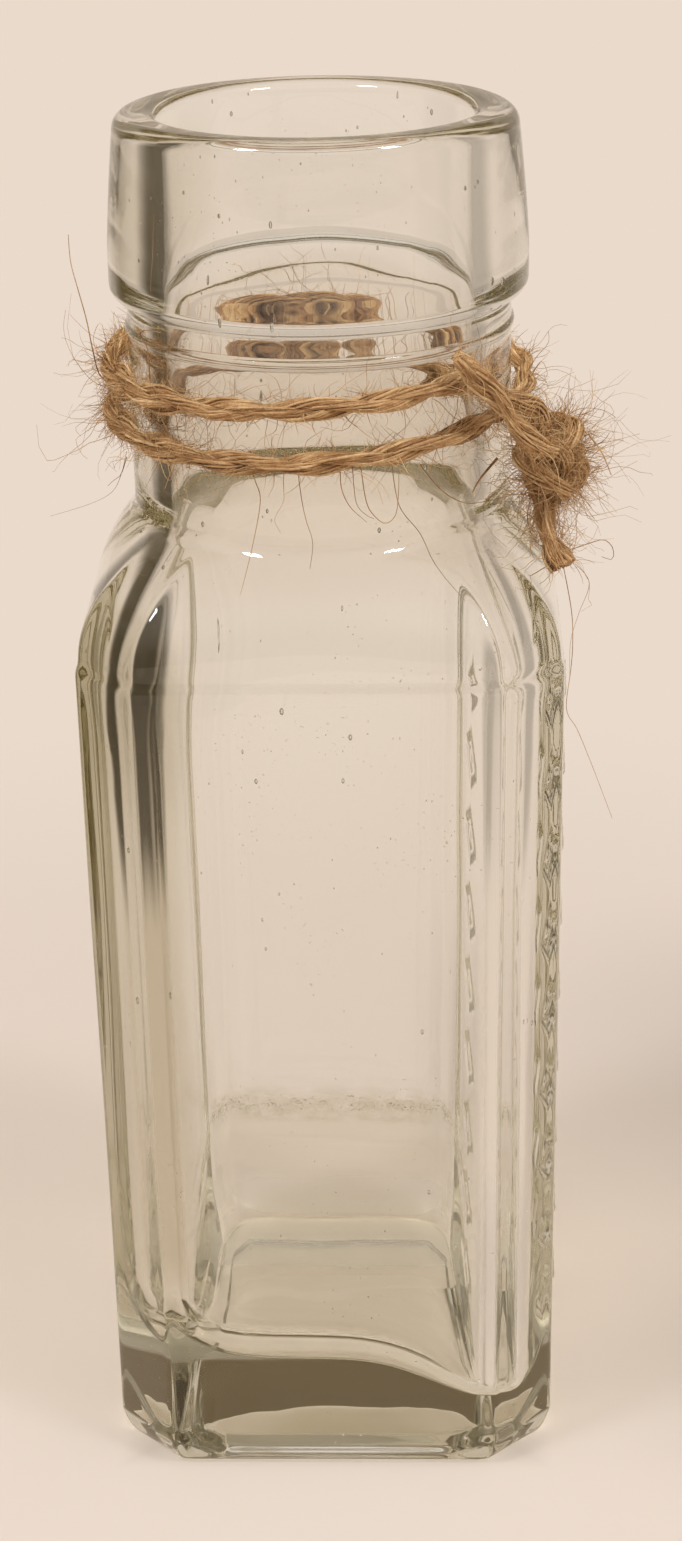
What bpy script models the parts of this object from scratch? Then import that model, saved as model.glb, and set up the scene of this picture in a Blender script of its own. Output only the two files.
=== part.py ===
"""Square bottle of pressed glass with an embossed side panel, and jute twine tied round its neck.

Metres, +Z up. The bottle stands on Z = 0 with the axis of its neck on Z, its plain front
panel faces -Y and its embossed panel faces +X. The twine is wound twice round the neck and
knotted at the front right, with one short end up and one frayed end down.
"""

import math

import bmesh
import bpy
from mathutils import Vector
from mathutils.bvhtree import BVHTree

# Body, a square with cut corners that widens a little towards the shoulder
FOOT_WIDTH = 0.0480
SHOULDER_WIDTH = 0.0497
SHOULDER_HEIGHT = 0.0925
CORNER_CUT = 0.00645
CORNER_EDGE_RADIUS = 0.0016
SHOULDER_EDGE_RADIUS = 0.0014
HEEL_INSET = 0.00164
HEEL_HEIGHT = 0.0035
FOOT_RIM_WIDTH = 0.0050
BASE_RECESS_DEPTH = 0.0007
BASE_RECESS_SLOPE = 0.0012

# Neck and lip
NECK_RADIUS = 0.01965
NECK_BASE_HEIGHT = 0.1045
NECK_FILLET = 0.0010
SEAM_HEIGHT = 0.1235
SEAM_WIDTH = 0.0012
SEAM_PROUD = 0.0003
LIP_BOTTOM_HEIGHT = 0.1264
LIP_RADIUS = 0.0214
LIP_WIDEST_HEIGHT = 0.1310
LIP_HEEL_RADIUS = 0.0017
LIP_TOP_RADIUS = 0.0204
LIP_OUTER_ROUNDING = 0.0017
LIP_INNER_ROUNDING = 0.0014
BOTTLE_HEIGHT = 0.1450

# Inside of the bottle
BORE_RADIUS = 0.0159
BODY_WALL = 0.0042
INNER_CORNER_RADIUS = 0.0060
BORE_BOTTOM_HEIGHT = 0.0984
INNER_SHOULDER_DROP = 0.0042
FLOOR_THICKNESS = 0.0122
FLOOR_RISE = 0.0032
FLOOR_SLUMP = 0.0040
FLOOR_FILLET = 0.0042

# Raised lozenges on the +X panel
EMBOSS_COUNT = 9
EMBOSS_PITCH = 0.0090
EMBOSS_FIRST_HEIGHT = 0.0120
EMBOSS_WIDTH = 0.0130
EMBOSS_LENGTH = 0.0068
EMBOSS_STROKE = 0.0017
EMBOSS_CREST = 0.0004
EMBOSS_PROUD = 0.0010
EMBOSS_SINK = 0.0003
BEAD_RADIUS = 0.0009
BEAD_TOP_SHARE = 0.45
BEAD_PROUD_SHARE = 0.8

# Twine and its winding
TWINE_DIAMETER = 0.0023
SEAT_GAP = 0.0003
WINDING_STEP = 0.0051
WINDING_TOP_HEIGHT = 0.1201
WINDING_BACK_RISE = 0.0016
WINDING_START_DEG = -46.0
WINDING_SWEEP_DEG = 660.0
POINTS_PER_TURN = 24
LEAD_STEPS = 4

# Knot, an overhand crossing pulled down on its core
KNOT_ANGLE_DEG = -23.0
KNOT_HEIGHT = 0.1110
KNOT_LOBE = 0.00142
KNOT_CROSSING = 0.0021
KNOT_CORE = 0.0036
KNOT_POINTS = 42
KNOT_TURN_DEG = 30.0
# Where the winding meets the knot's core, turning from the way round the neck to upwards
START_LEAD_DEG = 112.0
START_LEAD_DEPTH = -0.0010
END_LEAD_DEG = 0.0
END_LEAD_DEPTH = -0.0006

# Free ends of the twine, each from the knot outwards
UPPER_TAIL_ROUTE = (
    (0.02318, -0.01415, 0.11328),
    (0.02203, -0.01552, 0.11408),
    (0.01990, -0.01630, 0.11640),
    (0.01760, -0.01720, 0.11980),
    (0.01540, -0.01800, 0.12240),
    (0.01400, -0.01850, 0.12400),
)
LOWER_TAIL_ROUTE = (
    (0.02295, -0.01196, 0.10745),
    (0.02285, -0.01290, 0.10560),
    (0.02330, -0.01390, 0.10400),
    (0.02400, -0.01480, 0.10260),
    (0.02460, -0.01540, 0.10170),
)
UPPER_TAIL_SWELL_SHARES = (1.0, 1.0, 1.0, 1.05, 1.15, 0.95)
LOWER_TAIL_SWELL_SHARES = (1.0, 1.1, 1.3, 1.55, 1.4)

# Places of a ring's points, as shares of the half angle that one panel takes
PANEL_SHARES = (0.0, 0.25, 0.47, 0.66, 0.81, 0.92, 0.975, 1.0, 1.025, 1.09)
# How far up the shoulder its rings lie, from its edge to the neck
SHOULDER_SHARES = (0.18, 0.36, 0.52, 0.66, 0.79, 0.9, 1.0)
SHOULDER_POWER = 2.2
INNER_SHOULDER_POWER = 1.8
# The heel's and the shoulder edge's places, as shares of their insets and heights
HEEL_SHARES = ((0.0, 0.0), (0.55, 0.3), (1.0, 1.0))
SHOULDER_EDGE_INSET_SHARE = 0.25
NECK_FILLET_INSET_SHARE = 0.3
# Distances of the floor's rings from the wall, as shares of the fillet, then of what is left
FILLET_SHARES = (0.12, 0.36, 0.68, 1.0)
FLOOR_SHARES = (0.66, 0.33)
ROUNDING_STEPS = 3

# How far a cut octagon's vertex stands out past its rounding, for a radius of 1
CORNER_OVERSHOOT_SHARE = 1.0 / math.cos(math.radians(22.5)) - 1.0


def remove_all():
    """Empty the scene."""
    for old in list(bpy.data.objects):
        bpy.data.objects.remove(old, do_unlink=True)


def material(name, color, roughness, metallic=0.0, transmission=0.0):
    """Return a Principled material."""
    made = bpy.data.materials.new(name)
    made.use_nodes = True
    shader = made.node_tree.nodes["Principled BSDF"]
    shader.inputs["Base Color"].default_value = (*color, 1.0)
    shader.inputs["Roughness"].default_value = roughness
    shader.inputs["Metallic"].default_value = metallic
    shader.inputs["Transmission Weight"].default_value = transmission
    made.diffuse_color = (*color, 1.0)
    return made


def add_object(name, mesh, finish):
    """Link a mesh to the scene as a named object with its own material."""
    made = bpy.data.objects.new(name, mesh)
    mesh.materials.append(finish)
    bpy.context.scene.collection.objects.link(made)
    return made


# Outlines and rings of the bottle


def ring_angles():
    """Return the angles of a ring's points, mirrored from one eighth to the whole turn."""
    vertex = math.atan2(SHOULDER_WIDTH / 2 - CORNER_CUT, SHOULDER_WIDTH / 2)
    eighth = math.pi / 4
    half = [share * vertex for share in PANEL_SHARES if share * vertex < eighth]
    side = half + [eighth] + [2 * eighth - angle for angle in reversed(half[1:])]
    return [side[i] + 2 * eighth * quarter for quarter in range(4) for i in range(len(side))]


def octagon_radius(angle, half, cut, rounding):
    """Return how far a cut square with rounded edges reaches from its centre at an angle."""
    facet = (2 * half - cut) / math.sqrt(2)
    power = math.log(2) * half / (CORNER_OVERSHOOT_SHARE * rounding)
    total = 0.0
    for side in range(8):
        reach = math.cos(angle - side * math.pi / 4)
        if reach > 0:
            total += (reach / (half if side % 2 == 0 else facet)) ** power
    return total ** (-1.0 / power)


def square_ring(angles, half, height, rounding=CORNER_EDGE_RADIUS):
    """Return a ring on the outline of the body, shrunk or grown to a half width."""
    cut = CORNER_CUT * half / (SHOULDER_WIDTH / 2)
    ring = []
    for angle in angles:
        radius = octagon_radius(angle, half, cut, rounding)
        ring.append(Vector((radius * math.cos(angle), radius * math.sin(angle), height)))
    return ring


def round_ring(angles, radius, height):
    """Return a ring on a circle."""
    return [Vector((radius * math.cos(a), radius * math.sin(a), height)) for a in angles]


def body_half(height):
    """Return half the body's outer width at a height."""
    return (FOOT_WIDTH + (SHOULDER_WIDTH - FOOT_WIDTH) * height / SHOULDER_HEIGHT) / 2


def blend_rings(square, circle, shares, power):
    """Return rings that turn a square ring into a round one, upright first and steep last."""
    rings = []
    for share in shares:
        inward = share ** power
        rings.append(
            [
                Vector((*a.xy.lerp(b.xy, inward), a.z + (b.z - a.z) * share))
                for a, b in zip(square, circle)
            ]
        )
    return rings


def arc(center, radii, start_deg, end_deg, steps=ROUNDING_STEPS):
    """Return points (radius, height) on a quarter or other part of an ellipse."""
    points = []
    for step in range(steps + 1):
        angle = math.radians(start_deg + (end_deg - start_deg) * step / steps)
        points.append(
            (center[0] + radii[0] * math.cos(angle), center[1] + radii[1] * math.sin(angle))
        )
    return points


def outer_body_rings(angles):
    """Return the rings from the recess under the base up to the foot of the neck."""
    foot = body_half(0) - HEEL_INSET
    recess = foot - FOOT_RIM_WIDTH
    rings = [
        square_ring(angles, recess - BASE_RECESS_SLOPE, BASE_RECESS_DEPTH),
        square_ring(angles, recess, 0),
    ]
    for inset_share, height_share in HEEL_SHARES:
        half = foot + (body_half(HEEL_HEIGHT) - foot) * inset_share
        rings.append(square_ring(angles, half, HEEL_HEIGHT * height_share))
    below = SHOULDER_HEIGHT - SHOULDER_EDGE_RADIUS
    rings.append(square_ring(angles, body_half(below), below))
    inset = SHOULDER_EDGE_RADIUS * SHOULDER_EDGE_INSET_SHARE
    edge = square_ring(angles, SHOULDER_WIDTH / 2 - inset, SHOULDER_HEIGHT)
    rings.append(edge)
    foot_of_neck = NECK_RADIUS + NECK_FILLET * NECK_FILLET_INSET_SHARE
    neck = round_ring(angles, foot_of_neck, NECK_BASE_HEIGHT)
    rings += blend_rings(edge, neck, SHOULDER_SHARES, SHOULDER_POWER)
    return rings + [round_ring(angles, NECK_RADIUS, NECK_BASE_HEIGHT + NECK_FILLET)]


def neck_profile():
    """Return (radius, height) points up the neck, over the lip and down the bore."""
    seam = [
        (NECK_RADIUS, SEAM_HEIGHT - SEAM_WIDTH / 2),
        (NECK_RADIUS + SEAM_PROUD, SEAM_HEIGHT - SEAM_WIDTH / 4),
        (NECK_RADIUS + SEAM_PROUD, SEAM_HEIGHT + SEAM_WIDTH / 4),
        (NECK_RADIUS, SEAM_HEIGHT + SEAM_WIDTH / 2),
    ]
    overhang = LIP_RADIUS - NECK_RADIUS
    heel = arc(
        (LIP_RADIUS - overhang, LIP_BOTTOM_HEIGHT + LIP_HEEL_RADIUS),
        (overhang, LIP_HEEL_RADIUS), -80, 0,
    )
    top = arc(
        (LIP_TOP_RADIUS - LIP_OUTER_ROUNDING, BOTTLE_HEIGHT - LIP_OUTER_ROUNDING),
        (LIP_OUTER_ROUNDING, LIP_OUTER_ROUNDING), 0, 90,
    )
    mouth = arc(
        (BORE_RADIUS + LIP_INNER_ROUNDING, BOTTLE_HEIGHT - LIP_INNER_ROUNDING),
        (LIP_INNER_ROUNDING, LIP_INNER_ROUNDING), 90, 180,
    )
    lip = [(NECK_RADIUS, LIP_BOTTOM_HEIGHT), *heel, (LIP_RADIUS, LIP_WIDEST_HEIGHT)]
    return [*seam, *lip, *top, *mouth, (BORE_RADIUS, BORE_BOTTOM_HEIGHT)]


def floor_height(x, y, half):
    """Return the height of the inner floor, which rises to the back and slumps to the right."""
    rise = FLOOR_RISE * y / half
    slump = FLOOR_SLUMP * max(0.0, x / half) ** 2
    return FLOOR_THICKNESS + rise - slump


def inner_rings(angles):
    """Return the rings from under the bore down the cavity, and in across its floor."""
    top = SHOULDER_HEIGHT - INNER_SHOULDER_DROP
    half = body_half(top) - BODY_WALL
    square = square_ring(angles, half, top, rounding=INNER_CORNER_RADIUS)
    bore = round_ring(angles, BORE_RADIUS, BORE_BOTTOM_HEIGHT)
    rings = blend_rings(square, bore, SHOULDER_SHARES[:-1], INNER_SHOULDER_POWER)[::-1]
    rings.append(square)

    low = body_half(FLOOR_THICKNESS) - BODY_WALL
    wall = square_ring(angles, low, 0, rounding=INNER_CORNER_RADIUS)

    def floor_ring(inset_share, lift):
        inner = [p * inset_share for p in wall]
        return [Vector((p.x, p.y, floor_height(p.x, p.y, low) + lift)) for p in inner]

    rings.append(floor_ring(1.0, FLOOR_FILLET))
    for share in FILLET_SHARES:
        lift = FLOOR_FILLET * (1 - math.sqrt(1 - (1 - share) ** 2))
        rings.append(floor_ring(1 - share * FLOOR_FILLET / low, lift))
    flat = 1 - FLOOR_FILLET / low
    rings.extend(floor_ring(flat * share, 0) for share in FLOOR_SHARES)
    return rings, Vector((0, 0, floor_height(0, 0, low)))


def bottle_mesh():
    """Return the bottle's glass as one closed skin, outside and inside."""
    angles = ring_angles()
    rings = outer_body_rings(angles)
    rings += [round_ring(angles, radius, height) for radius, height in neck_profile()]
    inside, floor_center = inner_rings(angles)
    rings += inside

    skin = bmesh.new()
    loops = [[skin.verts.new(p) for p in ring] for ring in rings]
    count = len(angles)
    for lower, upper in zip(loops, loops[1:]):
        for i in range(count):
            j = (i + 1) % count
            skin.faces.new((lower[i], lower[j], upper[j], upper[i]))
    base = skin.verts.new((0, 0, BASE_RECESS_DEPTH))
    floor = skin.verts.new(floor_center)
    for i in range(count):
        j = (i + 1) % count
        skin.faces.new((base, loops[0][j], loops[0][i]))
        skin.faces.new((floor, loops[-1][i], loops[-1][j]))
    mesh = bpy.data.meshes.new("bottle")
    skin.to_mesh(mesh)
    skin.free()
    return mesh


# Embossing


def emboss_level(skin, shape, height, depth):
    """Add a loop of points, given across and along the panel, at a depth from its face."""
    return [
        skin.verts.new((body_half(height + up) + depth, across, height + up))
        for across, up in shape
    ]


def lozenge(half_width, half_length):
    """Return the four corners of a lozenge, across and along the panel."""
    return [(half_width, 0), (0, half_length), (-half_width, 0), (0, -half_length)]


def add_lozenge(skin, height):
    """Add one raised lozenge line with a rounded crest."""
    slope = (EMBOSS_STROKE - EMBOSS_CREST) / 2
    aspect = EMBOSS_LENGTH / EMBOSS_WIDTH
    inner = EMBOSS_STROKE - slope
    insets = (0, 0, slope, inner, EMBOSS_STROKE, EMBOSS_STROKE)
    depths = (-EMBOSS_SINK, 0, EMBOSS_PROUD, EMBOSS_PROUD, 0, -EMBOSS_SINK)
    stretch = math.hypot(1, 1 / aspect)
    loops = []
    for inset, depth in zip(insets, depths):
        half_width = EMBOSS_WIDTH / 2 - inset * stretch
        loops.append(emboss_level(skin, lozenge(half_width, half_width * aspect), height, depth))
    for outer, inner in zip(loops, loops[1:] + loops[:1]):
        for i in range(4):
            j = (i + 1) % 4
            skin.faces.new((outer[i], outer[j], inner[j], inner[i]))


def add_bead(skin, height, sides=8):
    """Add one low round bead."""
    loops = []
    top = EMBOSS_PROUD * BEAD_PROUD_SHARE
    for share, depth in ((1.0, -EMBOSS_SINK), (1.0, 0.0), (BEAD_TOP_SHARE, top)):
        circle = [
            (share * BEAD_RADIUS * math.cos(2 * math.pi * i / sides),
             share * BEAD_RADIUS * math.sin(2 * math.pi * i / sides))
            for i in range(sides)
        ]
        loops.append(emboss_level(skin, circle, height, depth))
    for outer, inner in zip(loops, loops[1:]):
        for i in range(sides):
            j = (i + 1) % sides
            skin.faces.new((outer[i], outer[j], inner[j], inner[i]))
    skin.faces.new(loops[0][::-1])
    skin.faces.new(loops[-1])


def emboss_object(finish):
    """Return the column of raised lozenges and beads that is joined to the bottle."""
    skin = bmesh.new()
    for index in range(EMBOSS_COUNT):
        height = EMBOSS_FIRST_HEIGHT + index * EMBOSS_PITCH
        add_lozenge(skin, height)
        add_bead(skin, height)
    bmesh.ops.recalc_face_normals(skin, faces=skin.faces)
    mesh = bpy.data.meshes.new("emboss")
    skin.to_mesh(mesh)
    skin.free()
    made = add_object("emboss", mesh, finish)
    made.hide_render = True
    made.display_type = "WIRE"
    return made


def make_bottle():
    """Make the glass bottle with its embossing."""
    glass = material("bottle_glass", (0.78, 0.80, 0.73), 0.05, transmission=1.0)
    bottle = add_object("bottle", bottle_mesh(), glass)
    join = bottle.modifiers.new("emboss", "BOOLEAN")
    join.operation = "UNION"
    join.solver = "EXACT"
    join.object = emboss_object(glass)
    bottle.data.shade_smooth()
    bottle.data.set_sharp_from_angle(angle=math.radians(30))
    return bottle


# Twine


def smooth_route(points, steps):
    """Return points on a smooth curve through the given ones."""
    spots = [Vector(p) for p in points]
    spots = [2 * spots[0] - spots[1], *spots, 2 * spots[-1] - spots[-2]]
    route = []
    for a, b, c, d in zip(spots, spots[1:], spots[2:], spots[3:]):
        for step in range(steps):
            t = step / steps
            route.append(
                ((2 * b) + (c - a) * t + (2 * a - 5 * b + 4 * c - d) * t * t
                 + (3 * b - a - 3 * c + d) * t ** 3) / 2
            )
    return [*route, spots[-2]]


def twine_object(name, route, finish, swell=None):
    """Make a closed tube of twine along a route."""
    curve = bpy.data.curves.new(name, "CURVE")
    curve.dimensions = "3D"
    curve.bevel_depth = TWINE_DIAMETER / 2
    curve.bevel_resolution = 1
    curve.use_fill_caps = True
    spline = curve.splines.new("POLY")
    spline.points.add(len(route) - 1)
    for index, place in enumerate(route):
        spline.points[index].co = (*place, 1.0)
        spline.points[index].radius = swell[index] if swell else 1.0
    return add_object(name, curve, finish)


def knot_axes():
    """Return the knot's centre, and its directions outwards, round the neck and up."""
    angle = math.radians(KNOT_ANGLE_DEG)
    out = Vector((math.cos(angle), math.sin(angle), 0))
    along = Vector((-math.sin(angle), math.cos(angle), 0))
    reach = NECK_RADIUS + 2 * SEAT_GAP + TWINE_DIAMETER + knot_half_depth()
    return out * reach + Vector((0, 0, KNOT_HEIGHT)), out, along, Vector((0, 0, 1))


def knot_half_depth():
    """Return how far the knot reaches in and out from its centre."""
    return KNOT_CROSSING + TWINE_DIAMETER / 2


def winding_point(turned_deg):
    """Return a point of the winding, by how far it has turned round the neck."""
    angle = math.radians(WINDING_START_DEG - turned_deg)
    half_step = math.radians(360 / POINTS_PER_TURN / 2)
    radius = (NECK_RADIUS + SEAT_GAP + TWINE_DIAMETER / 2) / math.cos(half_step)
    rise = WINDING_BACK_RISE * (1 + math.sin(angle)) / 2
    height = WINDING_TOP_HEIGHT - WINDING_STEP * turned_deg / 360 + rise
    return Vector((radius * math.cos(angle), radius * math.sin(angle), height))


def lead(angle_deg, depth):
    """Return a lead's two points at the knot: on its core, and one diameter away from it."""
    center, out, along, up = knot_axes()
    angle = math.radians(angle_deg)
    way = along * math.cos(angle) + up * math.sin(angle)
    seat = center + out * depth + way * (KNOT_CORE + SEAT_GAP)
    return seat, seat + way * TWINE_DIAMETER


def winding_route():
    """Return the winding's points, from the top of the knot twice round the neck to its back."""
    step = 360 / POINTS_PER_TURN
    turns = [winding_point(i * step) for i in range(round(WINDING_SWEEP_DEG / step) + 1)]
    first, rising = lead(START_LEAD_DEG, START_LEAD_DEPTH)
    last, nearing = lead(END_LEAD_DEG, END_LEAD_DEPTH)
    lead_in = smooth_route([first, rising, turns[0], turns[1]], LEAD_STEPS)
    lead_out = smooth_route([turns[-2], turns[-1], nearing, last], LEAD_STEPS)
    return (
        [lead_in[0], *lead_in[LEAD_STEPS:2 * LEAD_STEPS], *turns[:-1]]
        + [*lead_out[LEAD_STEPS:2 * LEAD_STEPS + 1], last]
    )


def least_gap(route):
    """Return the least gap between stretches of one tube that are not neighbours."""
    lengths = [0.0]
    for a, b in zip(route, route[1:]):
        lengths.append(lengths[-1] + (b - a).length)
    least = math.inf
    for i, a in enumerate(route):
        for j in range(i + 1, len(route)):
            if lengths[j] - lengths[i] > 4 * TWINE_DIAMETER:
                least = min(least, (route[j] - a).length)
    return least - TWINE_DIAMETER


def knot_route():
    """Return the closed path of the overhand crossing, round the knot's centre."""
    center, out, along, up = knot_axes()
    turn = math.radians(KNOT_TURN_DEG)
    route = []
    for index in range(KNOT_POINTS):
        t = 2 * math.pi * index / KNOT_POINTS
        across = KNOT_LOBE * (math.sin(t) + 2 * math.sin(2 * t))
        rise = KNOT_LOBE * (math.cos(t) - 2 * math.cos(2 * t))
        depth = -KNOT_CROSSING * math.sin(3 * t)
        route.append(
            center + out * depth
            + along * (across * math.cos(turn) - rise * math.sin(turn))
            + up * (across * math.sin(turn) + rise * math.cos(turn))
        )
    return route


def tube_mesh(name, route, center, radius, sides=8):
    """Return a closed ring of tube along a closed path round a centre."""
    skin = bmesh.new()
    count = len(route)
    loops = []
    for index, place in enumerate(route):
        tangent = (route[(index + 1) % count] - route[index - 1]).normalized()
        outward = (place - center).cross(tangent).normalized()
        other = tangent.cross(outward)
        loops.append(
            [
                skin.verts.new(
                    place
                    + outward * radius * math.cos(2 * math.pi * side / sides)
                    + other * radius * math.sin(2 * math.pi * side / sides)
                )
                for side in range(sides)
            ]
        )
    for index in range(count):
        here, following = loops[index], loops[(index + 1) % count]
        for i in range(sides):
            j = (i + 1) % sides
            skin.faces.new((here[i], here[j], following[j], following[i]))
    bmesh.ops.recalc_face_normals(skin, faces=skin.faces)
    mesh = bpy.data.meshes.new(name)
    skin.to_mesh(mesh)
    skin.free()
    return mesh


def make_knot(finish):
    """Make the knot: crossed twine joined to the packed core that it is pulled down on."""
    center, out, along, up = knot_axes()
    crossing = tube_mesh("twine_knot", knot_route(), center, TWINE_DIAMETER / 2)
    knot = add_object("twine_knot", crossing, finish)
    skin = bmesh.new()
    bmesh.ops.create_icosphere(skin, subdivisions=2, radius=1.0)
    for vert in skin.verts:
        unit = vert.co.copy()
        vert.co = (
            center + out * unit.x * (knot_half_depth() - SEAT_GAP)
            + along * unit.y * KNOT_CORE + up * unit.z * KNOT_CORE
        )
    mesh = bpy.data.meshes.new("knot_core")
    skin.to_mesh(mesh)
    skin.free()
    core = add_object("knot_core", mesh, finish)
    core.hide_render = True
    core.display_type = "WIRE"
    join = knot.modifiers.new("core", "BOOLEAN")
    join.operation = "UNION"
    join.solver = "EXACT"
    join.object = core
    knot.data.shade_smooth()
    return knot


def make_twine():
    """Make the winding, the knot and the two free ends."""
    jute = (0.42, 0.27, 0.13)
    winding = winding_route()
    print(f"winding: {len(winding)} points, least gap to itself {least_gap(winding):.5f} m")
    twine_object("twine_winding", winding, material("winding_jute", jute, 0.9))
    make_knot(material("knot_jute", jute, 0.9))
    twine_object(
        "twine_upper_tail",
        [Vector(p) for p in UPPER_TAIL_ROUTE],
        material("upper_tail_jute", jute, 0.9),
        UPPER_TAIL_SWELL_SHARES,
    )
    twine_object(
        "twine_lower_tail",
        [Vector(p) for p in LOWER_TAIL_ROUTE],
        material("lower_tail_jute", jute, 0.9),
        LOWER_TAIL_SWELL_SHARES,
    )


def clearances():
    """Print the least distance between each two pieces, measured at the corners of both."""
    graph = bpy.context.evaluated_depsgraph_get()
    shapes = {}
    for item in bpy.data.objects:
        if item.hide_render or item.type not in {"MESH", "CURVE"}:
            continue
        mesh = item.evaluated_get(graph).to_mesh()
        corners = [item.matrix_world @ v.co for v in mesh.vertices]
        faces = [tuple(p.vertices) for p in mesh.polygons]
        shapes[item.name] = (corners, BVHTree.FromPolygons(corners, faces))
    names = sorted(shapes)
    for index, one in enumerate(names):
        for other in names[index + 1:]:
            least = min(
                min(shapes[other][1].find_nearest(p)[3] for p in shapes[one][0]),
                min(shapes[one][1].find_nearest(p)[3] for p in shapes[other][0]),
            )
            crossed = bool(shapes[one][1].overlap(shapes[other][1]))
            print(f"{one} to {other}: {least:.5f} m{', crossed' if crossed else ''}")


remove_all()
make_bottle()
make_twine()
clearances()
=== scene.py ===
"""Looks of a square bottle of pressed glass with jute twine tied round its neck.

Metres, +Z up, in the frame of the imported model: the bottle stands on Z = 0 with the axis of
its neck on Z, its plain front panel faces -Y and its raised lozenges face +X.
"""

from __future__ import annotations

import logging
import math
from collections.abc import Callable
from dataclasses import dataclass
from enum import Enum
from typing import ClassVar

import bpy
import numpy as np
from bpy.types import ID, Material, Mesh, Node, NodeSocket, NodeTree, Object, bpy_prop_collection
from mathutils import Matrix, Vector

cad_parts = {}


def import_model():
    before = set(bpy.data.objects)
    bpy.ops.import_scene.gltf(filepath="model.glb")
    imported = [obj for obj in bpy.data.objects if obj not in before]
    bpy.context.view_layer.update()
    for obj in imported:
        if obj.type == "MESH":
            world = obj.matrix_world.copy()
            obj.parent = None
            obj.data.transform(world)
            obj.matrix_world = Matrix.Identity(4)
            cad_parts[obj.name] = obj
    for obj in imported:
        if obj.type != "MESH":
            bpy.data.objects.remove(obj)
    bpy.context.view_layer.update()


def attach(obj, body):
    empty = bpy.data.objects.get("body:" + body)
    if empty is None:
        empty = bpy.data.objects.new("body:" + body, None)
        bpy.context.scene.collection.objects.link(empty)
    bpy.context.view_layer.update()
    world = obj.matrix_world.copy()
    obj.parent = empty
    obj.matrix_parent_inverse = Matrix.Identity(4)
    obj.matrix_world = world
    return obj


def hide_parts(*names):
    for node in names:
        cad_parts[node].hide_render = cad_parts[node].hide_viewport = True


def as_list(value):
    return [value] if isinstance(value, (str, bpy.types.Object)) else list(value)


LOG = logging.getLogger("bottle_scene")
TURN = 2 * math.pi
BLACK = (0.0, 0.0, 0.0)
Ring = tuple[np.ndarray, np.ndarray]


class Body(Enum):
    """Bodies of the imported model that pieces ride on."""

    BOTTLE = "bottle"
    TWINE = "twine"


class Slot(Enum):
    """Material slots of the record."""

    GLASS = "clear_glass"
    JUTE = "jute"


# Node trees


def maths(operation: str, mirrored: bool = False) -> Callable[..., Flow]:
    """Return a method of Flow that adds a Math node to the tree.

    Args:
        operation: The node's operation.
        mirrored: Whether the other value comes first.

    Returns:
        The method. It takes the other values and returns the result.
    """

    def method(self: Flow, *others: Flow | float) -> Flow:
        """Return the operation's result."""
        values = (*others, self) if mirrored else (self, *others)
        return self.desk.flow("ShaderNodeMath", dict(enumerate(values)), operation=operation)

    return method


class Flow:
    """A value that flows out of a node. Arithmetic on it adds Math nodes to its tree."""

    __add__ = __radd__ = maths("ADD")
    __sub__, __rsub__ = maths("SUBTRACT"), maths("SUBTRACT", mirrored=True)
    __mul__ = __rmul__ = maths("MULTIPLY")
    __truediv__, __rtruediv__ = maths("DIVIDE"), maths("DIVIDE", mirrored=True)
    __pow__, __mod__ = maths("POWER"), maths("FLOORED_MODULO")
    sine, cosine, size = maths("SINE"), maths("COSINE"), maths("ABSOLUTE")
    floor, nearest = maths("FLOOR"), maths("ROUND")
    least, most, above = maths("MINIMUM"), maths("MAXIMUM"), maths("GREATER_THAN")

    def __init__(self, desk: NodeDesk, socket: NodeSocket) -> None:
        """Wrap one output socket of the desk's tree."""
        self.desk, self.socket = desk, socket

    def step(self, low: float, high: float) -> Flow:
        """Return a smooth step from 0 at low to 1 at high."""
        inputs = {"Value": self, "From Min": low, "From Max": high}
        return self.desk.flow("ShaderNodeMapRange", inputs, interpolation_type="SMOOTHSTEP")

    def within(self, low: float, full: float, last: float, high: float) -> Flow:
        """Return 1 from full to last, and smoothly down to 0 at low and at high."""
        return self.step(low, full) * (1 - self.step(last, high))


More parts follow.
